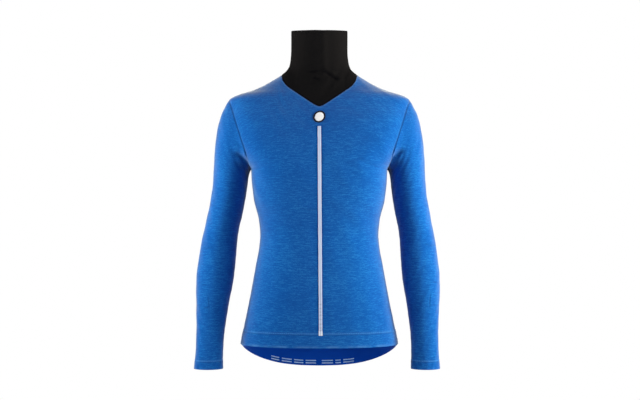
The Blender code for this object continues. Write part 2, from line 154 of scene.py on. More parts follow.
@dataclass(frozen=True)
class Curve:
    """A monotone cubic through values at growing places, which never overshoots them."""

    places: tuple[float, ...]
    values: tuple[float, ...]

    @classmethod
    def of(cls, rows: Sequence[Any], place: str, value: str) -> "Curve":
        """The curve of one named column of a table against another."""
        return cls(*(tuple(getattr(row, column) for row in rows) for column in (place, value)))

    def slopes(self) -> Array:
        """Slope at each place: none where the values turn."""
        rises = np.diff(self.values) / np.diff(self.places)
        before, after = rises[:-1], rises[1:]
        same = before * after > 0
        middle = np.zeros(len(before))
        middle[same] = 2 * before[same] * after[same] / (before[same] + after[same])
        return np.concatenate([rises[:1], middle, rises[-1:]])

    def __call__(self, place: Array | float) -> Array:
        """The value at one or many places.

        Args:
            place: where to read the curve, held to its ends.

        Returns:
            A value for each place.
        """
        places, values, slopes = np.array(self.places), np.array(self.values), self.slopes()
        held = np.clip(place, places[0], places[-1])
        i = np.clip(np.searchsorted(places, held, side="right") - 1, 0, len(places) - 2)
        width = places[i + 1] - places[i]
        t = (held - places[i]) / width
        return (
            values[i] * (1 + 2 * t) * (1 - t) ** 2
            + slopes[i] * width * t * (1 - t) ** 2
            + values[i + 1] * t * t * (3 - 2 * t)
            + slopes[i + 1] * width * t * t * (t - 1)
        )


# ---------------------------------------------------------------- the figure that fills the cloth
@dataclass(frozen=True)
class WidthRow:
    """Half width of the body, with its shoulder, at a height."""

    z: float
    half_width: float


@dataclass(frozen=True)
class DepthRow:
    """Depth of the body before and behind the seam line, and how square its section is."""

    z: float
    front: float
    back: float
    square: float


@dataclass(frozen=True)
class Ring:
    """A ring of the sleeve: its outer and inner point, middle, half depth and share of the arm."""

    outer_x: float
    outer_z: float
    inner_x: float
    inner_z: float
    middle_y: float
    half_depth: float
    arm_share: float


@dataclass(frozen=True)
class NeckRing:
    """A ring of the collar: height at the side, tilt, half width, front line and back line."""

    z: float
    tilt: float
    half_width: float
    front_y: float
    back_y: float


BODY_WIDTHS = (
    WidthRow(-700, 190.0),
    WidthRow(-630, 184.5),
    WidthRow(-585, 175.5),
    WidthRow(-527, 163.5),
    WidthRow(-443, 148.0),
    WidthRow(-405, 141.0),
    WidthRow(-376, 138.5),
    WidthRow(-345, 141.0),
    WidthRow(-294, 153.0),
    WidthRow(-262, 157.0),
    WidthRow(-224, 159.5),
    WidthRow(-205, 172.0),
    WidthRow(-180, 194.0),
    WidthRow(-142, 219.0),
    WidthRow(-105, 224.0),
    WidthRow(-80, 219.0),
    WidthRow(-60, 212.0),
    WidthRow(-53, 203.0),
    WidthRow(-46, 186.0),
    WidthRow(-38.5, 160.0),
    WidthRow(-25.5, 130.0),
    WidthRow(-11, 105.0),
    WidthRow(0, 88.5),
    WidthRow(12, 76.0),
)
BODY_DEPTHS = (
    DepthRow(-700, 111.0, 110.0, 2.25),
    DepthRow(-630, 110.0, 108.0, 2.25),
    DepthRow(-527, 108.0, 101.0, 2.3),
    DepthRow(-450, 105.0, 93.0, 2.3),
    DepthRow(-378, 105.0, 90.0, 2.35),
    DepthRow(-294, 114.0, 101.0, 2.6),
    DepthRow(-235, 119.0, 111.0, 2.9),
    DepthRow(-190, 116.0, 115.0, 2.7),
    DepthRow(-142, 107.0, 112.0, 2.4),
    DepthRow(-105, 96.0, 104.0, 2.3),
    DepthRow(-60, 77.0, 90.0, 2.25),
    DepthRow(-30, 63.0, 78.0, 2.25),
    DepthRow(0, 50.0, 64.0, 2.2),
    DepthRow(12, 46.0, 58.0, 2.2),
)
SLEEVE = (
    Ring(212.0, -60, 159.5, -224, 1, 54.0, 0.0),
    Ring(223.0, -77, 161.7, -226.5, 1, 54.0, 0.4),
    Ring(232.5, -101, 163.6, -230, 1, 54.0, 0.68),
    Ring(239.5, -131, 165.2, -235, 2, 54.0, 0.85),
    Ring(244.7, -168, 166.6, -242, 2, 53.5, 0.95),
    Ring(247.2, -205, 167.8, -252, 3, 53.0, 1.0),
    Ring(249.0, -240, 169.4, -265, 4, 52.0, 1.0),
    Ring(252.0, -275, 171.8, -283, 4, 51.0, 1.0),
    Ring(261.8, -330, 180.2, -330, 5, 49.0, 1.0),
    Ring(267.7, -358, 186.7, -358, 6, 48.0, 1.0),
    Ring(273.7, -386, 190.7, -386, 6, 47.0, 1.0),
    Ring(280.5, -430, 193.8, -430, 4, 46.0, 1.0),
    Ring(285.2, -471, 197.2, -471, -1, 44.5, 1.0),
    Ring(285.9, -499, 201.2, -499, -5, 42.5, 1.0),
    Ring(284.8, -527, 206.4, -527, -10, 39.5, 1.0),
    Ring(283.0, -570, 212.6, -570, -18, 35.0, 1.0),
    Ring(282.2, -612, 217.3, -612, -26, 31.5, 1.0),
    Ring(283.2, -650, 218.6, -650, -32, 30.5, 1.0),
    Ring(285.6, -685, 218.0, -685, -37, 31.5, 1.0),
)
COLLAR = (
    NeckRing(22.0, 2.0, 70.0, -57.0, 57.0),
    NeckRing(38.0, 3.0, 67.4, -59.5, 54.5),
    NeckRing(58.0, 4.0, 66.2, -63.0, 52.0),
    NeckRing(103.0, 7.3, 66.3, -77.0, 47.0),
)


@dataclass(frozen=True)
class Figure:
    """The form that the cloth sits on, and the lines where its pieces meet.

    Points (x, z) are seen from the front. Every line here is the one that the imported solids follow.
    """

    front_hem_z: float = -631.0
    tail_drop: float = 65.0
    tail_breadth: float = 2.5
    tail_rise: float = 0.66
    neck_side: tuple[float, float] = (88.5, 0.0)
    v_tip_z: float = -79.0
    v_leg_end: tuple[float, float] = (64.0, -38.5)
    v_turn: tuple[float, float] = (86.0, -24.6)
    v_leg_share: float = 0.6
    v_soft: float = 8.0  # how far from the centre line the V's tip is rounded
    shoulder_tip: tuple[float, float] = (212.0, -60.0)
    underarm: tuple[float, float] = (159.5, -224.0)
    arm_swing: float = 5.5
    swing_top_z: float = -240.0
    collar_lift: float = 26.0
    half_width: Curve = Curve.of(BODY_WIDTHS, "z", "half_width")
    front_depth: Curve = Curve.of(BODY_DEPTHS, "z", "front")
    back_depth: Curve = Curve.of(BODY_DEPTHS, "z", "back")
    square: Curve = Curve.of(BODY_DEPTHS, "z", "square")

    def surface(self, facing: Array | float, x: Array, z: Array) -> Array:
        """The body's surface as the front or back shows it.

        Args:
            facing: -1 for the front and 1 for the back, at each point or for all.
            x: distances to the wearer's left.
            z: heights.

        Returns:
            Points, one for each x and z.
        """
        depth = np.where(np.less(facing, 0), self.front_depth(z), self.back_depth(z))
        share = np.minimum(1.0, np.abs(x) / self.half_width(z))
        square = self.square(z)
        reach = (1 - share**square) ** (1 / square)
        return np.stack([x, facing * depth * reach, z], axis=-1)

    def level(self, points: Array) -> Array:
        """How far out from the body's middle points lie.

        Args:
            points: the points.

        Returns:
            Below 1 inside the body, 1 on its surface.
        """
        x, y, z = points[..., 0], points[..., 1], points[..., 2]
        depth = np.where(y < 0, self.front_depth(z), self.back_depth(z))
        square = self.square(z)
        return (np.abs(x) / self.half_width(z)) ** square + (np.abs(y) / depth) ** square

    def normals(self, points: Array) -> Array:
        """Outward normals of the body's surface, from the gradient of its level.

        Args:
            points: places on the surface.

        Returns:
            A normal for each point.
        """
        step = 0.05
        slopes = [self.level(points + d) - self.level(points - d) for d in np.eye(3) * step]
        return unit(np.stack(slopes, axis=-1))

    def neckline(self, share: Array) -> Array:
        """The front neckline: a straight leg of the V, then a bend up to the shoulder seam.

        Args:
            share: how far along it, from the tip of the V at 0 to the shoulder seam at 1.

        Returns:
            (x, z) at each share.
        """
        tip, leg = np.array((0.0, self.v_tip_z)), np.array(self.v_leg_end)
        turn, end = np.array(self.v_turn), np.array(self.neck_side)
        x = leg[0] * share / self.v_leg_share
        climb = np.hypot(x, self.v_soft) - self.v_soft
        climb = climb / (math.hypot(leg[0], self.v_soft) - self.v_soft)
        straight = np.stack([x, tip[1] + (leg[1] - tip[1]) * climb], axis=-1)
        t = ((share - self.v_leg_share) / (1 - self.v_leg_share))[..., None]
        bent = (leg + (turn - leg) * t) * (1 - t) + (turn + (end - turn) * t) * t
        return np.where((share <= self.v_leg_share)[..., None], straight, bent)

    def back_neckline(self, share: Array) -> Array:
        """(x, z) of the back neckline, level with the shoulder seams' inner ends."""
        x, z = self.neck_side
        return np.stack([x * np.sin(share * math.pi / 2), np.full_like(share, z)], axis=-1)

    def shoulder_seam(self, share: Array) -> Array:
        """(x, z) of the shoulder seam, from the collar at 0 to the shoulder tip at 1."""
        z = self.neck_side[1] + (self.shoulder_tip[1] - self.neck_side[1]) * share
        return np.stack([self.half_width(z), z], axis=-1)

    def hem(self, facing: Facing, share: Array) -> Array:
        """Height of the hem.

        Args:
            facing: the front's level hem or the back's curved tail.
            share: how far from the centre line to the side seam.

        Returns:
            z at each share.
        """
        if facing is Facing.FRONT:
            return np.full_like(share, self.front_hem_z)
        rise = np.maximum(0.0, 1 - share**self.tail_breadth) ** self.tail_rise
        return self.front_hem_z - self.tail_drop * rise

    def armhole_share(self, turn: Array) -> Array:
        """Height up the armhole, 0 to 1, at a share of the half turn round it."""
        return (1 - np.cos(math.pi * turn)) / 2

    def armhole_normals(self, side: int, facing: Array, turn: Array) -> Array:
        """Normals that the body and the sleeve share at the armhole seam.

        Args:
            side: 1 on the wearer's left and -1 on the right.
            facing: -1 before the seam line and 1 behind it.
            turn: share of the half turn, from under the arm at 0 to the shoulder at 1.

        Returns:
            A normal for each turn.
        """
        (top_x, top_z), (low_x, low_z) = self.shoulder_tip, self.underarm
        up = unit(np.array((side * (top_x - low_x), 0.0, top_z - low_z)))
        angle = math.pi * (1 - turn)
        out = np.zeros(np.shape(angle) + (3,))
        out[..., 1] = np.sin(angle) * facing
        return unit(out + np.cos(angle)[..., None] * up)


FIGURE = Figure()


# ---------------------------------------------------------------- folds
SWELL_SHARE = 0.3  # of a fold's depth: a wide bell the other way, which leaves swells beside it
SWELL_REACH = 2.4  # of its width: the width of that bell
SHADE_REACH = 0.8  # of its width: how far the painted shade of its bottom reaches
SIDE_ONSET = 3.0  # how soon a fold is at its full depth, once past the side of a sleeve or collar


@dataclass(frozen=True)
class Crease:
    """One fold in the cloth, drawn as a line of (x, z) points seen from the front or back.

    A depth below 0 is a groove with a low swell on each side, and above 0 a ridge. Its dark is painted shade
    in its bottom.
    """

    line: tuple[tuple[float, float], ...]
    width: float
    depth: float
    facing: Facing = Facing.FRONT
    end_share: float = 0.35  # how much of its length each end takes to fade
    dark: float = 0.0  # how much painted shade its bottom gets, where cloth lies against cloth

    def place(self, points: Array, facings: Array) -> tuple[Array, Array]:
        """Where points lie along and beside the fold.

        Args:
            points: the points.
            facings: which way the cloth faces at each, from -1 at the front to 1 at the back.

        Returns:
            Each point's distance from the fold's line, and how much of the fold is left there.
        """
        seen = points[..., [0, 2]]
        stops = np.array(self.line, float)
        runs = np.linalg.norm(np.diff(stops, axis=0), axis=1)
        nearest = np.full(seen.shape[:-1], np.inf)
        place = np.zeros(seen.shape[:-1])
        for i, run in enumerate(runs):
            step = stops[i + 1] - stops[i]
            t = np.clip(((seen - stops[i]) @ step) / run**2, 0, 1)
            away = np.linalg.norm(seen - stops[i] - t[..., None] * step, axis=-1)
            closer = away < nearest
            nearest = np.where(closer, away, nearest)
            place = np.where(closer, runs[:i].sum() + t * run, place)
        share = place / runs.sum()
        fade = eased(0, self.end_share, share) * eased(0, self.end_share, 1 - share)
        return nearest, fade * np.clip(self.facing.value * facings * SIDE_ONSET, 0, 1)

    def height(self, points: Array, facings: Array) -> Array:
        """How far the fold moves points outwards.

        Args:
            points: the points.
            facings: which way the cloth faces at each.

        Returns:
            A height for each point, in millimetres.
        """
        nearest, there = self.place(points, facings)
        profile = bell(nearest, self.width) - SWELL_SHARE * bell(nearest, self.width * SWELL_REACH)
        return self.depth * profile * there

    def painted_shade_share(self, points: Array, facings: Array) -> Array:
        """How much painted shade the fold puts on each point, from 0 to 1."""
        nearest, there = self.place(points, facings)
        return self.dark * there * bell(nearest, self.width * SHADE_REACH)


def mirrored(creases: Sequence[Crease], shrink: float = 0.85, drop: float = 9.0) -> tuple[Crease, ...]:
    """The like of some front folds for the back, the other way round.

    Args:
        creases: the front's folds.
        shrink: depth, dark and distance from the centre line of the new ones, of the front's.
        drop: how much lower they lie, once multiplied by shrink.

    Returns:
        The back's folds.
    """
    return tuple(
        replace(
            crease,
            line=tuple((-x * shrink, z - drop * shrink) for x, z in crease.line),
            depth=crease.depth * shrink,
            facing=Facing.BACK,
            dark=crease.dark * shrink,
        )
        for crease in creases
    )


# ---------------------------------------------------------------- cloth as grids of points
@dataclass(frozen=True)
class TurnedEdge:
    """A hem or cuff that is turned up double and stitched."""

    height: float  # from the edge up to the stitches
    step: float  # how much the double cloth stands out
    pull: float  # how deep the stitches draw the cloth in
    pull_pitch: float  # how far apart the deeper places are
    pucker: float  # how high the small puckers at the stitches are
    pucker_pitch: float
    pucker_reach: float
    pull_change: float = 0.25  # how much the depth of the pull changes
    pull_reach: float = 1.9
    single: float = 1.0  # thickness of the open cloth
    doubled: float = 0.9  # what the turned layer adds
    blend: float = 1.0  # half the height over which it ends

    def thickness(self, above: Array) -> Array:
        """Thickness of the cloth at heights above the edge."""
        turned = 1 - eased(self.height - self.blend, self.height + self.blend, above)
        return self.single + self.doubled * turned


HEM = TurnedEdge(33.0, 0.35, 0.55, 46.0, 0.25, 21.0, 9.0)
CUFF = TurnedEdge(20.0, 0.3, 0.5, 37.0, 0.3, 19.0, 8.0)


def shell_corners(rows: int, columns: int, closed: bool) -> tuple[Array, Array, Array]:
    """Corners of the faces of a shell, made of an outer and an inner grid of points and its rims.

    Args:
        rows: lines of points in each grid.
        columns: points in each line.
        closed: whether the last column meets the first.

    Returns:
        Each face's four layers (0 outer, 1 inner), rows and columns, which may be one too many.
    """
    spans = columns if closed else columns - 1
    r, c = np.meshgrid(np.arange(rows - 1), np.arange(spans), indexing="ij")
    quad_rows = np.stack([r, r, r + 1, r + 1], -1).reshape(-1, 4)
    quad_columns = np.stack([c, c + 1, c + 1, c], -1).reshape(-1, 4)
    faces = [
        (np.zeros_like(quad_rows), quad_rows, quad_columns),
        (np.ones_like(quad_rows), quad_rows[:, ::-1], quad_columns[:, ::-1]),
    ]
    span, layers = np.arange(spans), np.array((0, 0, 1, 1))
    for row, turn in ((0, 1), (rows - 1, -1)):
        edge = np.stack([span + 1, span, span, span + 1], -1)[:, ::turn]
        faces.append((np.tile(layers[::turn], (spans, 1)), np.full_like(edge, row), edge))
    span = np.arange(rows - 1)
    for column, turn in () if closed else ((0, 1), (columns - 1, -1)):
        edge = np.stack([span, span + 1, span + 1, span], -1)[:, ::turn]
        faces.append((np.tile(layers[::turn], (rows - 1, 1)), edge, np.full_like(edge, column)))
    layer, row, column = (np.concatenate(part) for part in zip(*faces))
    return layer, row, column


PUCKER_HEIGHT = 0.22
PUCKER_PITCH = 17.0
PUCKER_REACH = 7.0  # how far from a seam its puckers reach
SEAM_SHADE_REACH = 1.5


@dataclass
class Cloth:
    """A piece of cloth as rows of points on its outer side, and what is known at each point."""

    points: Array
    normals: Array
    facing: Array  # from -1, which faces the front, to 1, which faces the back
    thickness: Array
    closed: bool  # whether the last column meets the first
    level_row: int = 0  # the row that the courses are counted from
    painted_shade: Array = field(init=False)
    ridge: Array = field(init=False)
    across: Array = field(init=False)
    along: Array = field(init=False)

    def __post_init__(self) -> None:
        """Measures the cloth before anything is pressed into it."""
        looped = self.points
        if self.closed:
            looped = np.concatenate([self.points, self.points[:, :1]], axis=1)
        self.across = arc_lengths(looped, 1)
        self.along = arc_lengths(looped, 0)
        self.painted_shade = np.zeros(self.points.shape[:2])
        self.ridge = np.zeros(self.points.shape[:2])

    def own(self, measure: Array) -> Array:
        """A measure of the looped grid, for the cloth's own columns alone."""
        return measure[:, : self.points.shape[1]]

    def lift(self, amount: Array) -> None:
        """Moves the cloth outwards by an amount at each point."""
        self.points = self.points + self.normals * amount[..., None]

    def paint_shade(self, amount: Array) -> None:
        """Marks how much painted shade each point gets, as in the bottom of a seam or fold, from 0 to 1."""
        self.painted_shade = np.maximum(self.painted_shade, amount)

    def paint_wear_and_highlight(self, amount: Array) -> None:
        """Marks how much of a raised edge each point is, from 0 to 1, which is painted paler for wear and as
        a highlight.
        """
        self.ridge = np.maximum(self.ridge, amount)

    def press(self, creases: Sequence[Crease]) -> None:
        """Presses folds into the cloth, with painted shade in the bottoms of the dark ones.

        Args:
            creases: the folds.
        """
        total = np.zeros(self.points.shape[:2])
        for crease in creases:
            total += crease.height(self.points, self.facing)
            if crease.dark:
                self.paint_shade(crease.painted_shade_share(self.points, self.facing))
        self.lift(total)

    def hollow_armhole(self, distance: Array, depth: float = 3.2, reach: float = 24.0) -> None:
        """Draws the cloth in beside the armhole seam, but not at the shoulder or under the arm.

        Args:
            distance: from each point to the seam.
            depth: how deep the hollow is at the seam.
            reach: how far from the seam the cloth begins to dip.
        """
        z = self.points[..., 2]
        there = eased(-214.0, -180.0, z) * (1 - eased(-84.0, -64.0, z))
        self.lift(-depth * there * bell(distance, reach))

    def sink_seam(
        self, distance: Array, seed: int, depth: float = 0.7, reach: float = 2.4, tone: float = 0.8
    ) -> None:
        """Draws the cloth down into a seam, with small puckers beside it, and paints shade into its bottom.

        Args:
            distance: from each point to the seam.
            seed: which puckers.
            depth: how deep the seam lies.
            reach: how far from the seam the cloth begins to dip.
            tone: how much painted shade the seam's bottom gets, from 0 to 1.
        """
        along = self.own(self.across) + self.own(self.along)
        pucker = PUCKER_HEIGHT * uneven(along, PUCKER_PITCH, seed) * bell(distance, PUCKER_REACH)
        self.lift(-depth * bell(distance, reach) + pucker)
        self.paint_shade(tone * bell(distance, SEAM_SHADE_REACH))

    def turn_edge(self, above: Array, edge: TurnedEdge, seed: int) -> None:
        """Makes the double cloth of a hem or cuff stand out, and draws it in at the stitches, with painted
        shade under them and a painted highlight over them.

        Args:
            above: each point's height above the edge.
            edge: the sizes of the hem or cuff.
            seed: which unevenness.
        """
        line, across = above - edge.height, self.own(self.across)
        pull = edge.pull + edge.pull_change * uneven(across, edge.pull_pitch, seed)
        self.lift(edge.step * (1 - eased(-1.5, 1.5, line)) - pull * bell(line, edge.pull_reach))
        pucker = edge.pucker * uneven(across, edge.pucker_pitch, seed + 1)
        self.lift(pucker * bell(line, edge.pucker_reach))
        self.paint_shade(0.4 * bell(line + 2.2, 1.4))  # painted shade just under the stitches
        self.paint_wear_and_highlight(0.3 * bell(line - 0.4, 1.3))  # painted highlight on the crest just over them

    def build(self, name: str) -> bpy.types.Object:
        """One closed shell of the cloth, with its UV map and the values of its points.

        Args:
            name: of the object.

        Returns:
            The object.
        """
        inner = self.points - self.normals * self.thickness[..., None]
        rows, columns = self.points.shape[:2]
        layer, row, column = shell_corners(rows, columns, self.closed)
        if self.faces_inward():
            layer, row, column = layer[:, ::-1], row[:, ::-1], column[:, ::-1]
        corners = (layer * rows + row) * columns + column % columns
        course = self.along - self.along[self.level_row]
        uv = np.stack([self.across[row, column], course[row, column]], -1) * MM
        blank = np.zeros(rows * columns)
        values = {
            PAINTED_SHADE: np.concatenate([self.painted_shade.ravel(), blank]),
            RIDGE: np.concatenate([self.ridge.ravel(), blank]),
            PAINTED_LIGHT_INSIDE: np.concatenate([blank, blank + 1.0]),
        }
        points = np.concatenate([self.points.reshape(-1, 3), inner.reshape(-1, 3)])
        return shown_mesh(name, points, corners, uv, values)

    def faces_inward(self) -> bool:
        """Whether the outer side's faces, taken together, turn away from its normals."""
        return float(np.sum(grid_normals(self.points, self.closed) * self.normals)) < 0


def shown_mesh(
    name: str,
    points: Array,
    faces: Array | Sequence[Sequence[int]],
    uv: Array | None = None,
    values: dict[str, Array] | None = None,
) -> bpy.types.Object:
    """A mesh object in the scene, smooth but for its sharp edges.

    Args:
        name: of the object and its mesh.
        points: in millimetres.
        faces: corner numbers of each face.
        uv: a place on the cloth for each corner of each face.
        values: named numbers for each point.

    Returns:
        The object.
    """
    mesh = bpy.data.meshes.new(name)
    mesh.from_pydata((points * MM).tolist(), [], [list(map(int, face)) for face in faces])
    if uv is not None:
        layer = mesh.uv_layers.new(name=UV_NAME)
        layer.data.foreach_set("uv", np.asarray(uv, np.float32).ravel())
    for label, numbers in (values or {}).items():
        attribute = mesh.attributes.new(label, "FLOAT", "POINT")
        attribute.data.foreach_set("value", numbers.astype(np.float32))
    mesh.shade_smooth()
    mesh.set_sharp_from_angle(angle=CRISP)
    piece = bpy.data.objects.new(name, mesh)
    bpy.context.scene.collection.objects.link(piece)
    return piece


def grid_normals(points: Array, closed: bool) -> Array:
    """Normals of a grid of points, from the lines between each point's neighbours.

    Args:
        points: rows of points.
        closed: whether the last column meets the first.

    Returns:
        A normal for each point, all on the same side of the grid.
    """
    up = np.gradient(points, axis=0)
    if closed:
        across = np.roll(points, -1, axis=1) - np.roll(points, 1, axis=1)
    else:
        across = np.gradient(points, axis=1)
    return unit(np.cross(across, up))


def ring_faces(rings: int, sides: int, looped: bool = False, first: int = 0) -> list[list[int]]:
    """Faces between rings of points.

    Args:
        rings: how many there are.
        sides: points in each.
        looped: whether the last ring meets the first, or both ends are capped.
        first: number of the first point.

    Returns:
        The corner numbers of each face.
    """
    faces = []
    for low in range(rings if looped else rings - 1):
        high = (low + 1) % rings
        for here in range(sides):
            there = (here + 1) % sides
            corners = ((low, here), (low, there), (high, there), (high, here))
            faces.append([ring * sides + place for ring, place in corners])
    if not looped:
        faces += [list(reversed(range(sides))), [(rings - 1) * sides + k for k in range(sides)]]
    return [[first + corner for corner in face] for face in faces]


# ---------------------------------------------------------------- the knit pieces
@dataclass
class BodyPanel:
    """The front or the back of the body, from the hem to the neckline and shoulder seams."""

    facing: Facing
    creases: tuple[Crease, ...]
    half_columns: int = 84  # of which half end on the neckline and half on the shoulder seam
    lower_rows: int = 150
    armhole_rows: int = 72
    edge_pull: int = 4  # the higher, the fewer outer columns follow the armhole's spacing
    calm: tuple[float, float] = (2.0, 30.0)  # from the seams, where the unevenness sets in
    swell: float = 0.35
    swell_pitch: float = 62.0
    roll: float = 0.6  # height of the rolled edge along the neckline
    roll_at: float = 2.6  # how far it lies from the neck seam
    seed: int = 11

    def base(self) -> tuple[Array, Array]:
        """Lays the panel out on the figure.

        Returns:
            Its points, and each column's share of the half width.
        """
        column = np.linspace(-1, 1, 2 * self.half_columns + 1)
        side, turn = np.where(column < 0, -1.0, 1.0), np.abs(column)
        share = np.sin(math.pi / 2 * turn)
        neck = FIGURE.neckline if self.facing is Facing.FRONT else FIGURE.back_neckline
        on_neck = (turn <= 0.5)[:, None]
        top = np.where(
            on_neck,
            neck(np.minimum(1, turn * 2)),
            FIGURE.shoulder_seam(np.maximum(0, turn * 2 - 1)),
        )
        (tip_x, tip_z), (arm_x, arm_z) = FIGURE.shoulder_tip, FIGURE.underarm
        hem = FIGURE.hem(self.facing, share)
        low = np.linspace(0, 1, self.lower_rows + 1)[:, None]
        low_z = hem + (arm_z - hem) * low
        low_x = share * FIGURE.half_width(low_z)
        rise = np.linspace(0, 1, self.armhole_rows + 1)[1:, None]
        up_arm = FIGURE.armhole_share(rise)
        high_z = arm_z + (top[:, 1] - arm_z) * (rise + (up_arm - rise) * share**self.edge_pull)
        high_x = share * (arm_x + (tip_x - arm_x) * up_arm) + (top[:, 0] - share * tip_x) * rise
        x, z = np.concatenate([low_x, high_x]), np.concatenate([low_z, high_z])
        points = FIGURE.surface(float(self.facing.value), x, z)
        points[: self.lower_rows + 1, [0, -1], 1] = 0.0
        points[-1, turn >= 0.5, 1] = 0.0
        points[..., 0] *= side
        return points, share

    def cloth(self) -> Cloth:
        """The panel's cloth with its seams, turned hem, folds and soft unevenness."""
        points, share = self.base()
        normals, facing = FIGURE.normals(points), float(self.facing.value)
        turn = np.linspace(0, 1, self.armhole_rows + 1)
        for column, side in ((0, -1), (-1, 1)):
            normals[self.lower_rows :, column] = FIGURE.armhole_normals(side, np.array(facing), turn)
        above_hem = points[..., 2] - FIGURE.hem(self.facing, share)
        facings = np.full(points.shape[:2], facing)
        cloth = Cloth(points, normals, facings, HEM.thickness(above_hem), False, self.lower_rows)
        to_side = np.minimum(cloth.across, cloth.across[:, -1:] - cloth.across)
        to_top = cloth.along[-1:] - cloth.along
        column = np.arange(points.shape[1])
        from_middle = np.abs(column - self.half_columns)
        to_shoulder = np.where(from_middle >= self.half_columns / 2, to_top, FAR)
        to_neck = np.where(from_middle <= self.half_columns / 2, to_top, FAR)
        calm = eased(*self.calm, np.minimum(to_side, to_top))
        cloth.lift(calm * self.swell * rolling(cloth.across, cloth.along, self.swell_pitch, self.seed))
        cloth.press(self.creases)
        below_arm = FIGURE.underarm[1] - points[..., 2] > 2.0
        cloth.hollow_armhole(to_side)
        cloth.sink_seam(np.where(below_arm, to_side, FAR), self.seed + 1, 0.0, tone=0.0)
        cloth.sink_seam(np.where(below_arm, FAR, to_side), self.seed + 1)
        cloth.sink_seam(to_shoulder, self.seed + 2, 0.6, tone=0.5)
        cloth.lift(self.roll * (bell(to_neck - self.roll_at, 1.6) - bell(to_neck, 1.3)))
        # painted shade along the neck seam
        cloth.paint_shade(bell(to_neck, 1.2))
        # painted highlight on the rolled edge beside the neck seam
        cloth.paint_wear_and_highlight(0.3 * bell(to_neck - 3.0, 1.3))
        cloth.turn_edge(above_hem, HEM, self.seed + 3)
        self.wear_hem(cloth, above_hem)
        return cloth

    def wear_hem(self, cloth: Cloth, above_hem: Array) -> None:
        """Lets the hem's edge wave a little, and paints it unevenly paler, for wear and as a highlight on
        the fold.

        Args:
            cloth: the panel's cloth.
            above_hem: each point's height above the hem.
        """
        cloth.lift(0.3 * uneven(cloth.across, 70.0, self.seed + 5) * bell(above_hem, 14.0))
        worn = 0.22 + 0.16 * uneven(cloth.across, 38.0, self.seed + 6)
        # paler along the hem's edge: wear, and a painted highlight
        cloth.paint_wear_and_highlight(worn * bell(above_hem - 2.6, 2.2))

    def line_above_hem(self, cloth: Cloth, height: float) -> tuple[Array, Array]:
        """Points and normals of the line that stands a height above the hem."""
        return crossing(cloth, cloth.points[..., 2] - cloth.points[:1, :, 2], height)


def crossing(cloth: Cloth, measure: Array, at: float) -> tuple[Array, Array]:
    """Where each column first reaches a value of a growing measure.

    Args:
        cloth: the cloth.
        measure: a value at each of its points, growing along each column.
        at: the value looked for.

    Returns:
        The points and their normals, one for each column.
    """
    row = np.clip((measure < at).sum(axis=0), 1, measure.shape[0] - 1)
    column = np.arange(measure.shape[1])
    low, high = measure[row - 1, column], measure[row, column]
    t = ((at - low) / (high - low))[:, None]
    points = cloth.points[row - 1, column] * (1 - t) + cloth.points[row, column] * t
    return points, cloth.normals[row, column]


def along_x(line: Array, stops: Array, skip: int = 0) -> Array:
    """Reads a line at some x.

    Args:
        line: rows of values, of which the first is x.
        stops: each x to read it at.
        skip: how many of the first values to leave out.

    Returns:
        A row of values for each stop.
    """
    line = line[np.argsort(line[:, 0])]
    return np.stack([np.interp(stops, line[:, 0], value) for value in line.T[skip:]], -1)


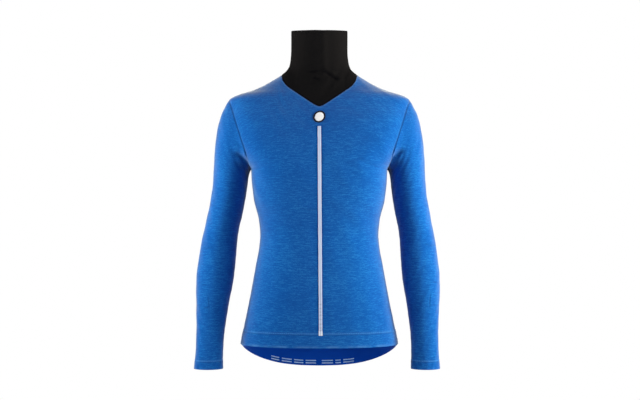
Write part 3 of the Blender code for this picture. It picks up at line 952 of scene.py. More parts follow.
@dataclass
class Sleeve:
    """A sleeve, from the armhole to the cuff, with its own seam under the arm."""

    side: Side
    creases: tuple[Crease, ...]
    half_turn: int = 72  # columns on each half of the armhole, as the panels have
    rows: int = 205
    crowding: float = 1.04  # above 1, the rings are closer together near the armhole
    swell: float = 0.3
    swell_pitch: float = 48.0
    seed: int = 31

    def angles(self) -> Array:
        """Angle of each column round the arm, from the seam under it."""
        return math.pi + math.pi * np.arange(2 * self.half_turn) / self.half_turn

    def base(self) -> Array:
        """Points of the sleeve, a ring at a time from the armhole, each begun under the arm."""
        middles = [((r.outer_x + r.inner_x) / 2, (r.outer_z + r.inner_z) / 2) for r in SLEEVE]
        places = arc_lengths(np.array(middles), 0)
        stops = places[-1] * np.linspace(0, 1, self.rows) ** self.crowding
        ring = {
            f.name: Curve(tuple(places), tuple(getattr(r, f.name) for r in SLEEVE))(stops)
            for f in fields(Ring)
        }
        swing = -self.side.value * FIGURE.arm_swing
        for line in ("outer", "inner"):
            drop = (ring[f"{line}_z"] - FIGURE.swing_top_z) / (SLEEVE[-1].outer_z - FIGURE.swing_top_z)
            ring[f"{line}_x"] = ring[f"{line}_x"] + swing * np.maximum(0.0, drop)
        cos, sin = np.cos(self.angles()), np.sin(self.angles())
        column = {name: value[:, None] for name, value in ring.items()}
        x = (column["outer_x"] + column["inner_x"]) / 2
        x = x + (column["outer_x"] - column["inner_x"]) / 2 * cos
        z = (column["outer_z"] + column["inner_z"]) / 2
        z = z + (column["outer_z"] - column["inner_z"]) / 2 * cos
        edge = FIGURE.surface(np.where(sin > 0, -1.0, 1.0), x[0], z[0])[:, 1]
        edge[[0, self.half_turn]] = 0.0
        arm = column["middle_y"] - column["half_depth"] * sin
        y = edge + (arm - edge) * column["arm_share"]
        return np.stack([self.side.value * x, y, z], axis=-1)

    def cloth(self) -> Cloth:
        """The sleeve's cloth with its seams, turned cuff, folds and soft unevenness."""
        points, facing = self.base(), -np.sin(self.angles())
        normals = grid_normals(points, True)
        normals *= np.sign(normals[self.rows // 2, self.half_turn, 0] * self.side.value)
        turn = 1 - np.abs(1 - np.arange(2 * self.half_turn) / self.half_turn)
        normals[0] = FIGURE.armhole_normals(self.side.value, np.sign(facing), turn)
        above_cuff = points[..., 2] - points[-1:, :, 2]
        facings = np.broadcast_to(facing, points.shape[:2])
        cloth = Cloth(points, normals, facings, CUFF.thickness(above_cuff), True, -1)
        across, along = cloth.own(cloth.across), cloth.own(cloth.along)
        to_seam = np.minimum(across, cloth.across[:, -1:] - across)
        calm = eased(2.0, 30.0, along) * eased(1.0, 16.0, to_seam)
        cloth.lift(calm * self.swell * rolling(across, along, self.swell_pitch, self.seed))
        cloth.press(self.creases)
        cloth.hollow_armhole(along)
        cloth.sink_seam(along, self.seed + 1)
        cloth.sink_seam(to_seam, self.seed + 2, 0.5, tone=0.3)
        cloth.turn_edge(above_cuff, CUFF, self.seed + 3)
        return cloth

    def line_above_cuff(self, cloth: Cloth) -> tuple[Array, Array]:
        """The cuff's stitch line, closed on itself.

        Args:
            cloth: the sleeve's cloth.

        Returns:
            The line's points and their normals.
        """
        height = cloth.points[-1:, :, 2] - cloth.points[..., 2]
        points, normals = crossing(cloth, height, -CUFF.height)
        return np.concatenate([points, points[:1]]), np.concatenate([normals, normals[:1]])


@dataclass
class Collar:
    """The high black collar, a tube whose front runs down into the V."""

    creases: tuple[Crease, ...]
    quarter: int = 42  # columns along each quarter of the neckline, as the panels have
    rows: int = 74
    cloth_thick: float = 1.0
    swell: float = 0.3
    swell_pitch: float = 55.0
    seed: int = 51

    def neck_loop(self) -> tuple[Array, Array]:
        """Goes round the neckline, from the middle of the back by the right and the front.

        Returns:
            Its points, and the angle of each from the front.
        """
        turns = np.arange(4 * self.quarter)
        angle = math.pi + math.tau * turns / len(turns)
        quarter, step = np.divmod(turns, self.quarter)
        share = np.where(quarter % 2 == 0, step / self.quarter, 1 - step / self.quarter)
        side = np.where(quarter < 2, -1.0, 1.0)
        front = (quarter == 1) | (quarter == 2)
        seen = np.where(front[:, None], FIGURE.neckline(share), FIGURE.back_neckline(share))
        points = FIGURE.surface(np.where(front, -1.0, 1.0), seen[:, 0], seen[:, 1])
        points[share == 1, 1] = 0.0
        points[:, 0] *= side
        return points, angle

    def base(self) -> tuple[Array, Array]:
        """Runs each column from the neckline up through the rings.

        Returns:
            The collar's points, a ring at a time from the neckline up, and each column's angle.
        """
        loop, angle = self.neck_loop()
        normal = FIGURE.normals(loop)
        up = unit(np.array((0.0, 0.0, 1.0)) - normal * normal[:, 2:])
        columns = []
        for start, climb, turn in zip(loop, up, angle):
            stations = [self.ring_point(ring, turn) for ring in COLLAR]
            reach = min(FIGURE.collar_lift, float(np.linalg.norm(stations[0] - start)) * 0.5)
            path = np.array([start, start + climb * reach, *stations])
            places = tuple(arc_lengths(path, 0))
            stops = np.linspace(0, places[-1], self.rows)
            columns.append(np.stack([Curve(places, tuple(values))(stops) for values in path.T], axis=-1))
        return np.stack(columns, axis=1), angle

    def ring_point(self, ring: NeckRing, angle: float) -> Array:
        """The point of a ring at an angle.

        Args:
            ring: the ring.
            angle: from the front, towards the left.

        Returns:
            The point.
        """
        sin, cos = math.sin(angle), math.cos(angle)
        depth = -ring.front_y if cos > 0 else ring.back_y
        return np.array((ring.half_width * sin, -depth * cos, ring.z - ring.tilt * cos))

    def cloth(self) -> Cloth:
        """The collar's cloth with its neck seam, folds and soft unevenness."""
        points, angle = self.base()
        normals = grid_normals(points, True)
        normals *= np.sign(normals[self.rows // 2, 0, 1])
        normals[0] = FIGURE.normals(points[0])
        facings = np.broadcast_to(-np.cos(angle), points.shape[:2])
        cloth = Cloth(points, normals, facings, np.full(points.shape[:2], self.cloth_thick), True)
        across, along = cloth.own(cloth.across), cloth.own(cloth.along)
        to_top = along[-1:] - along
        calm = eased(2.0, 24.0, along)
        cloth.lift(calm * self.swell * rolling(across, along, self.swell_pitch, self.seed))
        cloth.press(self.creases)
        cloth.lift(-0.6 * bell(along, 2.0) - 0.5 * bell(to_top, 2.2))
        # painted shade along the neck seam
        cloth.paint_shade(bell(along, 2.6))
        return cloth


# ---------------------------------------------------------------- trims and thread
@dataclass
class StitchLine:
    """A row of stitches that lie on the cloth, each a short bowed length of thread."""

    name: str
    length: float = 4.2
    gap: float = 1.0
    radius: float = 0.6
    sides: int = 6
    rings: int = 5
    seed: int = 71

    def build(self, line: Array, normals: Array) -> bpy.types.Object:
        """Lays the stitches on the cloth.

        Args:
            line: points to follow.
            normals: the cloth's normals there.

        Returns:
            The object.
        """
        places = arc_lengths(line, 0)
        random = np.random.default_rng(self.seed)
        points, faces, begun = [], [], 1.0
        while begun + self.length < places[-1] - 1.0:
            length = self.length * random.uniform(0.8, 1.15)
            stops = np.linspace(begun, begun + length, self.rings)
            spine = np.stack([np.interp(stops, places, line[:, k]) for k in range(3)], -1)
            out = unit(np.stack([np.interp(stops, places, normals[:, k]) for k in range(3)], -1))
            bow = np.sin(np.linspace(0, math.pi, self.rings))
            spine = spine + out * (bow * self.radius * 0.8 - 0.1)[:, None]
            first = sum(len(ring) for ring in points)
            points.append(self.tube(spine, out, self.radius * (0.45 + 0.55 * bow)))
            faces += ring_faces(self.rings, self.sides, first=first)
            begun += length + self.gap * random.uniform(0.7, 1.4)
        return shown_mesh(self.name, np.concatenate(points), faces)

    def tube(self, spine: Array, out: Array, radii: Array) -> Array:
        """Points of a tube round a spine.

        Args:
            spine: the middle of each ring.
            out: away from the cloth, at each ring.
            radii: of the rings.

        Returns:
            The rings' points, one ring after another.
        """
        ahead = unit(np.gradient(spine, axis=0))
        across = unit(np.cross(ahead, out))
        turn = math.tau * np.arange(self.sides) / self.sides
        ring = np.cos(turn)[None, :, None] * out[:, None] + np.sin(turn)[None, :, None] * across[:, None]
        return (spine[:, None] + ring * radii[:, None, None]).reshape(-1, 3)


@dataclass
class CentreTape:
    """The pale tape bonded down the middle of the front, with its press marks and end block."""

    half_width: float = 3.9
    top_z: float = -125.5
    bottom_z: float = -602.0
    lean: float = 3.0
    lift: float = 0.1
    thick: float = 0.75
    row_pitch: float = 1.0
    columns: int = 15
    block_top_z: float = -591.0
    block_spread: float = 0.35
    marks_z: tuple[float, ...] = (-531.5, -540.5, -548.5, -556.0, -565.5, -576.0, -585.0)
    mark_width: float = 1.3

    def centre(self, z: Array) -> Array:
        """x of the tape's centre line at a height."""
        return self.lean * (self.top_z - z) / (self.top_z - self.bottom_z)

    def build(self) -> bpy.types.Object:
        """The tape, a thin shell that follows the front."""
        z = np.arange(self.bottom_z, self.top_z + self.row_pitch / 2, self.row_pitch)[:, None]
        across = np.sin(np.linspace(-1, 1, self.columns) * math.pi / 2)[None]
        wide = self.half_width + self.block_spread * (1 - eased(-0.8, 0.8, z - self.block_top_z))
        x = self.centre(z) + wide * across
        points = FIGURE.surface(-1.0, x, z + 0 * x)
        normals = FIGURE.normals(points)
        marks = sum(bell(z - m, self.mark_width) for m in (*self.marks_z, self.block_top_z))
        groove = bell(x - self.centre(z), 0.7)
        edge = 1 - across**8
        thick = self.thick * (0.45 + 0.55 * edge) * np.ones_like(x)
        lifted = points + normals * (self.lift + thick - 0.2 * groove - 0.22 * marks)[..., None]
        cloth = Cloth(lifted, normals, -np.ones(x.shape), thick, False)
        low = 1 - eased(-500.0, -440.0, z)
        # painted shade in the middle groove, stronger low down, and in the press marks
        painted_crease_shade = groove * (0.2 + 0.5 * low)
        cloth.painted_shade = np.clip(painted_crease_shade + 0.9 * marks * (0.3 + 0.7 * groove), 0, 1)
        cloth.ridge = (1 - eased(-0.8, 0.8, z - self.block_top_z)) * np.ones_like(x)
        return cloth.build("tape")


@dataclass
class Badge:
    """The small round transfer under the V: a dark ring round a plain pale face."""

    z: float = -104.0
    radius: float = 14.0
    rim: float = 3.6
    gap: float = 0.15
    lift: float = 0.15
    thick: float = 0.75
    stretch: float = 1.075  # it is pulled a little longer along one slant, and shorter across it
    slant: float = math.radians(42)
    sides: int = 96

    def ring(self, radius: float, lift: float) -> Array:
        """Points round the badge at a radius, lifted off the front."""
        turn = math.tau * np.arange(self.sides) / self.sides
        along, across = radius * self.stretch * np.cos(turn), radius / self.stretch * np.sin(turn)
        x = along * math.cos(self.slant) - across * math.sin(self.slant)
        z = self.z + along * math.sin(self.slant) + across * math.cos(self.slant)
        points = FIGURE.surface(-1.0, x, z)
        return points + FIGURE.normals(points) * lift

    def lathe(self, name: str, profile: Sequence[tuple[float, float]], capped: bool) -> bpy.types.Object:
        """A shape turned round the badge's middle.

        Args:
            name: of the object.
            profile: (radius, lift) pairs, closed on itself, or between two caps.
            capped: whether the first and last rings are filled.

        Returns:
            The object.
        """
        points = np.concatenate([self.ring(radius, lift) for radius, lift in profile])
        faces = ring_faces(len(profile), self.sides, looped=not capped)
        return shown_mesh(name, points, faces)

    def build_ring(self) -> bpy.types.Object:
        """The dark ring, with rounded edges."""
        low, high, soft = self.lift, self.lift + self.thick, 0.25
        inner, outer = self.radius - self.rim, self.radius
        profile = [
            (inner, low),
            (outer, low),
            (outer, high - soft),
            (outer - soft, high),
            (inner + soft, high),
            (inner, high - soft),
        ]
        return self.lathe("badge_ring", profile, False)

    def build_face(self) -> bpy.types.Object:
        """The plain pale face, slightly crowned."""
        outer, low = self.radius - self.rim - self.gap, self.lift
        high = self.lift + self.thick * 0.75
        profile = [(outer, low), (outer, high - 0.2), (outer - 0.2, high)]
        profile += [(outer * share, high + 0.12 * (1 - share**2)) for share in (0.8, 0.5, 0.2)]
        return self.lathe("badge_disc", profile, True)


@dataclass
class TailPrint:
    """A plain double row of printed dashes inside the tail, where a label of size would stand."""

    rows: tuple[tuple[float, float], ...] = ((5.0, 7.4), (11.0, 13.4))  # heights above the hem
    spans: tuple[tuple[float, float], ...] = (
        (-116.0, -97.0),
        (-91.0, -67.0),
        (-61.0, -39.0),
        (-33.0, -8.0),
        (6.0, 33.0),
        (39.0, 52.0),
        (58.0, 84.0),
    )
    clear: float = 0.06
    film: float = 0.12
    steps: int = 12

    def build(self, cloth: Cloth) -> bpy.types.Object:
        """The dashes, as thin films on the inner side of the back's cloth."""
        above = cloth.points[..., 2] - cloth.points[:1, :, 2]
        points, faces = [], []
        for low, high in self.rows:
            edges = [self.inner_line(cloth, above, height) for height in (low, (low + high) / 2, high)]
            for left, right in self.spans:
                stops = np.linspace(left, right, self.steps)
                near = np.stack([along_x(line, stops) for line, _ in edges])
                inward = np.stack([along_x(np.c_[line[:, :1], out], stops, 1) for line, out in edges])
                first = sum(len(part) for part in points)
                points += [near.reshape(-1, 3), (near + inward * self.film).reshape(-1, 3)]
                faces += self.film_faces(first, *near.shape[:2])
        return shown_mesh("tail_print", np.concatenate(points), faces)

    def inner_line(self, cloth: Cloth, above: Array, height: float) -> tuple[Array, Array]:
        """Points just inside the cloth at a height above its hem, and the way inward there."""
        line, normals = crossing(cloth, above, height)
        reach = cloth.thickness[2].max() + self.clear
        return line - normals * reach, -normals

    def film_faces(self, first: int, rows: int, columns: int) -> list[list[int]]:
        """Faces of one closed film whose points begin at a number."""
        size, faces = rows * columns, []
        for r in range(rows - 1):
            for c in range(columns - 1):
                a = first + r * columns + c
                quad = [a, a + 1, a + columns + 1, a + columns]
                faces += [quad[::-1], [size + q for q in quad]]
        rim = [(0, c) for c in range(columns)] + [(r, columns - 1) for r in range(1, rows)]
        rim += [(rows - 1, c) for c in range(columns - 2, -1, -1)] + [(r, 0) for r in range(rows - 2, 0, -1)]
        loop = [first + r * columns + c for r, c in rim]
        for a, b in zip(loop, loop[1:] + loop[:1]):
            faces.append([a, b, b + size, a + size])
        return faces


# ---------------------------------------------------------------- finishes
def linear(hex_colour: str) -> tuple[float, float, float, float]:
    """An sRGB hex colour such as "2f6fc0", turned to linear, with full alpha."""
    shares = [int(hex_colour[i : i + 2], 16) / 255 for i in (0, 2, 4)]
    made = [s / 12.92 if s <= 0.04045 else ((s + 0.055) / 1.055) ** 2.4 for s in shares]
    return (made[0], made[1], made[2], 1.0)


def add_node(
    tree: bpy.types.NodeTree,
    kind: str,
    settings: dict[str, Any] | None = None,
    links: dict[str | int, bpy.types.NodeSocket] | None = None,
) -> bpy.types.Node:
    """Adds a node, sets it up and links its inputs.

    Args:
        tree: where it goes.
        kind: its type, such as ShaderNodeTexNoise.
        settings: its own properties, and default values of inputs by name or "#number".
        links: the output that feeds each input, by the input's name or number.

    Returns:
        The node.
    """
    node = tree.nodes.new(kind)
    for name, value in (settings or {}).items():
        if name.startswith("#"):
            node.inputs[int(name[1:])].default_value = value
        elif name in node.inputs and not hasattr(type(node), name):
            node.inputs[name].default_value = value
        else:
            setattr(node, name, value)
    for name, output in (links or {}).items():
        tree.links.new(output, node.inputs[name])
    return node


def fresh_material(name: str) -> tuple[bpy.types.Material, bpy.types.NodeTree, bpy.types.Node]:
    """A new material with an empty Principled shader wired to its output."""
    material = bpy.data.materials.new(name)
    material.use_nodes = True
    tree = material.node_tree
    return material, tree, tree.nodes["Principled BSDF"]


def laid_over(
    tree: bpy.types.NodeTree, colour: str | bpy.types.NodeSocket, layers: Sequence[tuple[str, str]]
) -> bpy.types.NodeSocket:
    """Lays colours over another, each as much as a value of the cloth's points says.

    Args:
        tree: where the nodes go.
        colour: the lowest colour, in hex or as an output.
        layers: each value's name and its colour in hex, from the lowest up.

    Returns:
        The colour that shows.
    """
    for value, top in layers:
        share = add_node(tree, "ShaderNodeAttribute", {"attribute_name": value}).outputs["Fac"]
        settings, links = {"data_type": "RGBA", "#7": linear(top)}, {0: share}
        if isinstance(colour, str):
            settings["#6"] = linear(colour)
        else:
            links[6] = colour
        colour = add_node(tree, "ShaderNodeMix", settings, links).outputs[2]
    return colour


def cloth_noise(
    tree: bpy.types.NodeTree, size_mm: tuple[float, float], rough: float = 0.5, shift: float = 0.0
) -> bpy.types.NodeSocket:
    """Noise laid on the cloth in its own millimetres.

    Args:
        tree: where the nodes go.
        size_mm: size of its features along the courses and across them.
        rough: how much of its finer detail there is.
        shift: moves it, so that two layers don't look alike.

    Returns:
        The noise, about 0 to 1.
    """
    place = add_node(tree, "ShaderNodeUVMap", {"uv_map": UV_NAME}).outputs["UV"]
    scale = (1 / (size_mm[0] * MM), 1 / (size_mm[1] * MM), 1.0)
    settings = {"Scale": scale, "Location": (shift, shift, shift)}
    mapped = add_node(tree, "ShaderNodeMapping", settings, {"Vector": place}).outputs[0]
    settings = {"Scale": 1.0, "Detail": 2.0, "Roughness": rough}
    return add_node(tree, "ShaderNodeTexNoise", settings, {"Vector": mapped}).outputs[0]


Pattern = tuple[bpy.types.NodeSocket, bpy.types.NodeSocket | None]  # colour and height


@dataclass(frozen=True, kw_only=True)
class Finish:
    """What all finishes share: a Principled shader that a pattern gives its colour and relief."""

    name: str
    roughness: float
    specular: float = 0.0
    sheen: float = 0.0
    sheen_roughness: float = 0.5
    sheen_tint: str = "ffffff"
    relief: float = 0.15  # how strongly the relief shows
    relief_mm: float = 0.2

    def pattern(self, tree: bpy.types.NodeTree, shader: bpy.types.Node) -> Pattern:
        """Adds the finish's own nodes.

        Args:
            tree: where they go.
            shader: the Principled shader.

        Returns:
            The colour, and the height if it has relief.
        """
        raise NotImplementedError

    def material(self) -> bpy.types.Material:
        """The finished material."""
        material, tree, shader = fresh_material(self.name)
        values = {
            "Roughness": self.roughness,
            "Specular IOR Level": self.specular,
            "Sheen Weight": self.sheen,
            "Sheen Roughness": self.sheen_roughness,
            "Sheen Tint": linear(self.sheen_tint),
        }
        for name, value in values.items():
            shader.inputs[name].default_value = value
        colour, height = self.pattern(tree, shader)
        tree.links.new(colour, shader.inputs["Base Color"])
        if height is not None:
            settings = {"Strength": self.relief, "Distance": self.relief_mm * MM}
            bump = add_node(tree, "ShaderNodeBump", settings, {"Height": height})
            tree.links.new(bump.outputs[0], shader.inputs["Normal"])
        return material


WAVE_SCALE = 0.314  # at this scale the bands of a wave texture come once in each unit along Y


@dataclass(frozen=True, kw_only=True)
class HeatheredJersey(Finish):
    """Fine heathered jersey, knitted from mixed polyester yarns.

    It gives a matte blue whose courses break into faint paler and darker dashes, and a soft
    whitish bloom where the light grazes the nap.
    """

    name: str = "heathered_jersey"
    deep: str = "044a9b"
    base: str = "0652a6"
    pale: str = "1868b6"
    # a brighter blue painted on the inner side as light, which lightens its shade
    inner: str = "004abc"
    # painted shade, in the bottoms of seams and folds and beside the tape
    seam: str = "052c66"
    # a paler blue on raised edges: wear, and a painted highlight
    wear_and_highlight: str = "5c97d4"
    # Real dashes and specks are one course of 0.6 mm high: three are drawn as one, so that they show
    long_mm: tuple[float, float] = (30.0, 1.8)
    dash_mm: tuple[float, float] = (8.0, 1.7)
    speck_mm: tuple[float, float] = (2.4, 1.8)
    cloud_mm: tuple[float, float] = (80.0, 80.0)
    course_mm: float = 2.4  # a real course is 0.6 mm, too fine to show, so four are drawn as one
    deepest: float = 0.525  # of the mixed yarns' noise, where the deep colour ends
    palest: float = 0.725  # where the pale one begins
    roughness: float = 0.82
    sheen: float = 0.7
    sheen_roughness: float = 0.41
    sheen_tint: str = "e6f4fa"
    relief: float = 0.25
    relief_mm: float = 0.3

    def pattern(self, tree: bpy.types.NodeTree, shader: bpy.types.Node) -> Pattern:
        """Yarns of three colours, a brighter blue painted on the inner side as light, painted shade in seams
        and folds, paler raised edges of wear and painted highlight, and raised courses.
        """
        yarns = (
            (self.long_mm, 0.35, 0.0),
            (self.dash_mm, 0.40, 7.3),
            (self.speck_mm, 0.35, 3.1),
            (self.cloud_mm, 0.15, 5.7),
        )
        mixed = None
        for size_mm, weight, shift in yarns:
            links = {0: cloth_noise(tree, size_mm, 0.55, shift)}
            if mixed:
                links[2] = mixed
            settings = {"operation": "MULTIPLY_ADD", "#1": weight, "#2": 0.0}
            mixed = add_node(tree, "ShaderNodeMath", settings, links).outputs[0]
        settings = {"From Min": self.deepest, "From Max": self.palest}
        share = add_node(tree, "ShaderNodeMapRange", settings, {"Value": mixed}).outputs[0]
        ramp = add_node(tree, "ShaderNodeValToRGB", None, {"Fac": share})
        stops = ramp.color_ramp.elements
        stops[0].color, stops[1].color = linear(self.deep), linear(self.pale)
        stops.new(0.5).color = linear(self.base)
        # painted light on the inner side, then wear and painted highlight on raised edges, then painted
        # shade
        layers = ((PAINTED_LIGHT_INSIDE, self.inner), (RIDGE, self.wear_and_highlight), (PAINTED_SHADE, self.seam))
        place = add_node(tree, "ShaderNodeUVMap", {"uv_map": UV_NAME}).outputs["UV"]
        rate = 1 / (self.course_mm * MM)
        settings = {"Scale": (rate, rate, 1.0)}
        mapped = add_node(tree, "ShaderNodeMapping", settings, {"Vector": place}).outputs[0]
        settings = {"bands_direction": "Y", "Scale": WAVE_SCALE, "Distortion": 1.2, "Detail": 1.0}
        courses = add_node(tree, "ShaderNodeTexWave", settings, {"Vector": mapped}).outputs["Fac"]
        settings, links = {"operation": "MULTIPLY_ADD", "#1": 4.0}, {0: mixed, 2: courses}
        height = add_node(tree, "ShaderNodeMath", settings, links).outputs[0]
        return laid_over(tree, ramp.outputs["Color"], layers), height


@dataclass(frozen=True, kw_only=True)
class StretchJersey(Finish):
    """Smooth black stretch jersey, knitted from elastane-blend yarn.

    It gives a flat charcoal with hardly any texture and a faint grey bloom towards its edges.
    """

    name: str = "black_stretch_jersey"
    deep: str = "121214"
    base: str = "18181a"
    # painted shade, in the neck seam and the bottoms of folds
    seam: str = "03040a"
    yarn_mm: tuple[float, float] = (2.2, 6.0)  # a real rib is 0.5 mm wide, drawn four times as coarse
    roughness: float = 0.72
    sheen: float = 0.02
    sheen_roughness: float = 0.4
    relief: float = 0.2
    relief_mm: float = 0.3

    def pattern(self, tree: bpy.types.NodeTree, shader: bpy.types.Node) -> Pattern:
        """Two near blacks, with painted shade in the neck seam and the bottoms of folds."""
        yarn = cloth_noise(tree, self.yarn_mm)
        settings = {"data_type": "RGBA", "#6": linear(self.deep), "#7": linear(self.base)}
        colour = add_node(tree, "ShaderNodeMix", settings, {0: yarn}).outputs[2]
        return laid_over(tree, colour, ((PAINTED_SHADE, self.seam),)), yarn


@dataclass(frozen=True, kw_only=True)
class BondedTape(Finish):
    """Heat-bonded polyurethane tape, pressed on.

    It gives a pale, slightly satin band, with painted shade in the crease down its middle and in its press
    marks.
    """

    name: str = "bonded_tape"
    face: str = "b8c8ec"
    # painted shade in the crease and the press marks
    painted_crease_shade: str = "7888b0"
    block: str = "d2e0f8"
    grain_mm: float = 1.5
    roughness: float = 0.5
    roughness_change: float = 0.08
    specular: float = 0.2

    def pattern(self, tree: bpy.types.NodeTree, shader: bpy.types.Node) -> Pattern:
        """A fine grain that changes the gloss a little, with painted shade in the creases, and the end
        block.
        """
        place = add_node(tree, "ShaderNodeUVMap", {"uv_map": UV_NAME}).outputs["UV"]
        settings = {"Scale": 1 / (self.grain_mm * MM), "Detail": 2.0}
        grain = add_node(tree, "ShaderNodeTexNoise", settings, {"Vector": place}).outputs[0]
        low, high = self.roughness - self.roughness_change, self.roughness + self.roughness_change
        rough = add_node(tree, "ShaderNodeMapRange", {"To Min": low, "To Max": high}, {"Value": grain})
        tree.links.new(rough.outputs[0], shader.inputs["Roughness"])
        return laid_over(tree, self.face, ((RIDGE, self.block), (PAINTED_SHADE, self.painted_crease_shade))), grain


@dataclass(frozen=True, kw_only=True)
class PrintedFilm(Finish):
    """A film of ink: heat transfer or screen print.

    It gives an even colour with the cloth's grain showing through as small specks.
    """

    ink: str
    worn: str
    grain_mm: float = 1.2
    roughness: float = 0.55
    specular: float = 0.15

    def pattern(self, tree: bpy.types.NodeTree, shader: bpy.types.Node) -> Pattern:
        """Ink with worn specks."""
        place = add_node(tree, "ShaderNodeTexCoord").outputs["Object"]
        settings = {"Scale": 1 / (self.grain_mm * MM), "Detail": 3.0}
        grain = add_node(tree, "ShaderNodeTexNoise", settings, {"Vector": place}).outputs[0]
        settings = {"From Min": 0.5, "From Max": 0.75, "To Max": 0.6}
        spot = add_node(tree, "ShaderNodeMapRange", settings, {"Value": grain}).outputs[0]
        settings = {"data_type": "RGBA", "#6": linear(self.ink), "#7": linear(self.worn)}
        return add_node(tree, "ShaderNodeMix", settings, {0: spot}).outputs[2], grain


@dataclass(frozen=True, kw_only=True)
class SpunThread(Finish):
    """Spun polyester sewing thread, twisted from two plies.

    It gives short soft dashes, a little paler than the cloth, with a slant of light and dark ply.
    """

    name: str = "spun_thread"
    light: str = "3f8fda"
    dark: str = "1e68ba"
    ply_mm: float = 0.9
    roughness: float = 0.7
    specular: float = 0.1

    def pattern(self, tree: bpy.types.NodeTree, shader: bpy.types.Node) -> Pattern:
        """Slanting plies, without relief."""
        place = add_node(tree, "ShaderNodeTexCoord").outputs["Object"]
        scale = WAVE_SCALE / (self.ply_mm * MM)
        settings = {"bands_direction": "DIAGONAL", "Scale": scale, "Distortion": 0.5}
        ply = add_node(tree, "ShaderNodeTexWave", settings, {"Vector": place}).outputs["Fac"]
        settings = {"data_type": "RGBA", "#6": linear(self.dark), "#7": linear(self.light)}
        return add_node(tree, "ShaderNodeMix", settings, {0: ply}).outputs[2], None


# ---------------------------------------------------------------- studio
@dataclass(frozen=True)
class SoftBox:
    """A soft rectangular lamp, in metres and watts."""

    name: str
    place: tuple[float, float, float]
    aim: tuple[float, float, float]
    size: tuple[float, float]
    power: float
    colour: str = "fff0d6"

    def build(self) -> None:
        """Adds the lamp to the scene."""
        data = bpy.data.lights.new(self.name, "AREA")
        data.shape = "RECTANGLE"
        data.size, data.size_y = self.size
        data.energy = self.power
        data.color = linear(self.colour)[:3]
        lamp = bpy.data.objects.new(self.name, data)
        lamp.location = self.place
        lamp.visible_camera = False
        lamp.rotation_euler = (Vector(self.aim) - Vector(self.place)).to_track_quat("-Z", "Y").to_euler()
        bpy.context.scene.collection.objects.link(lamp)


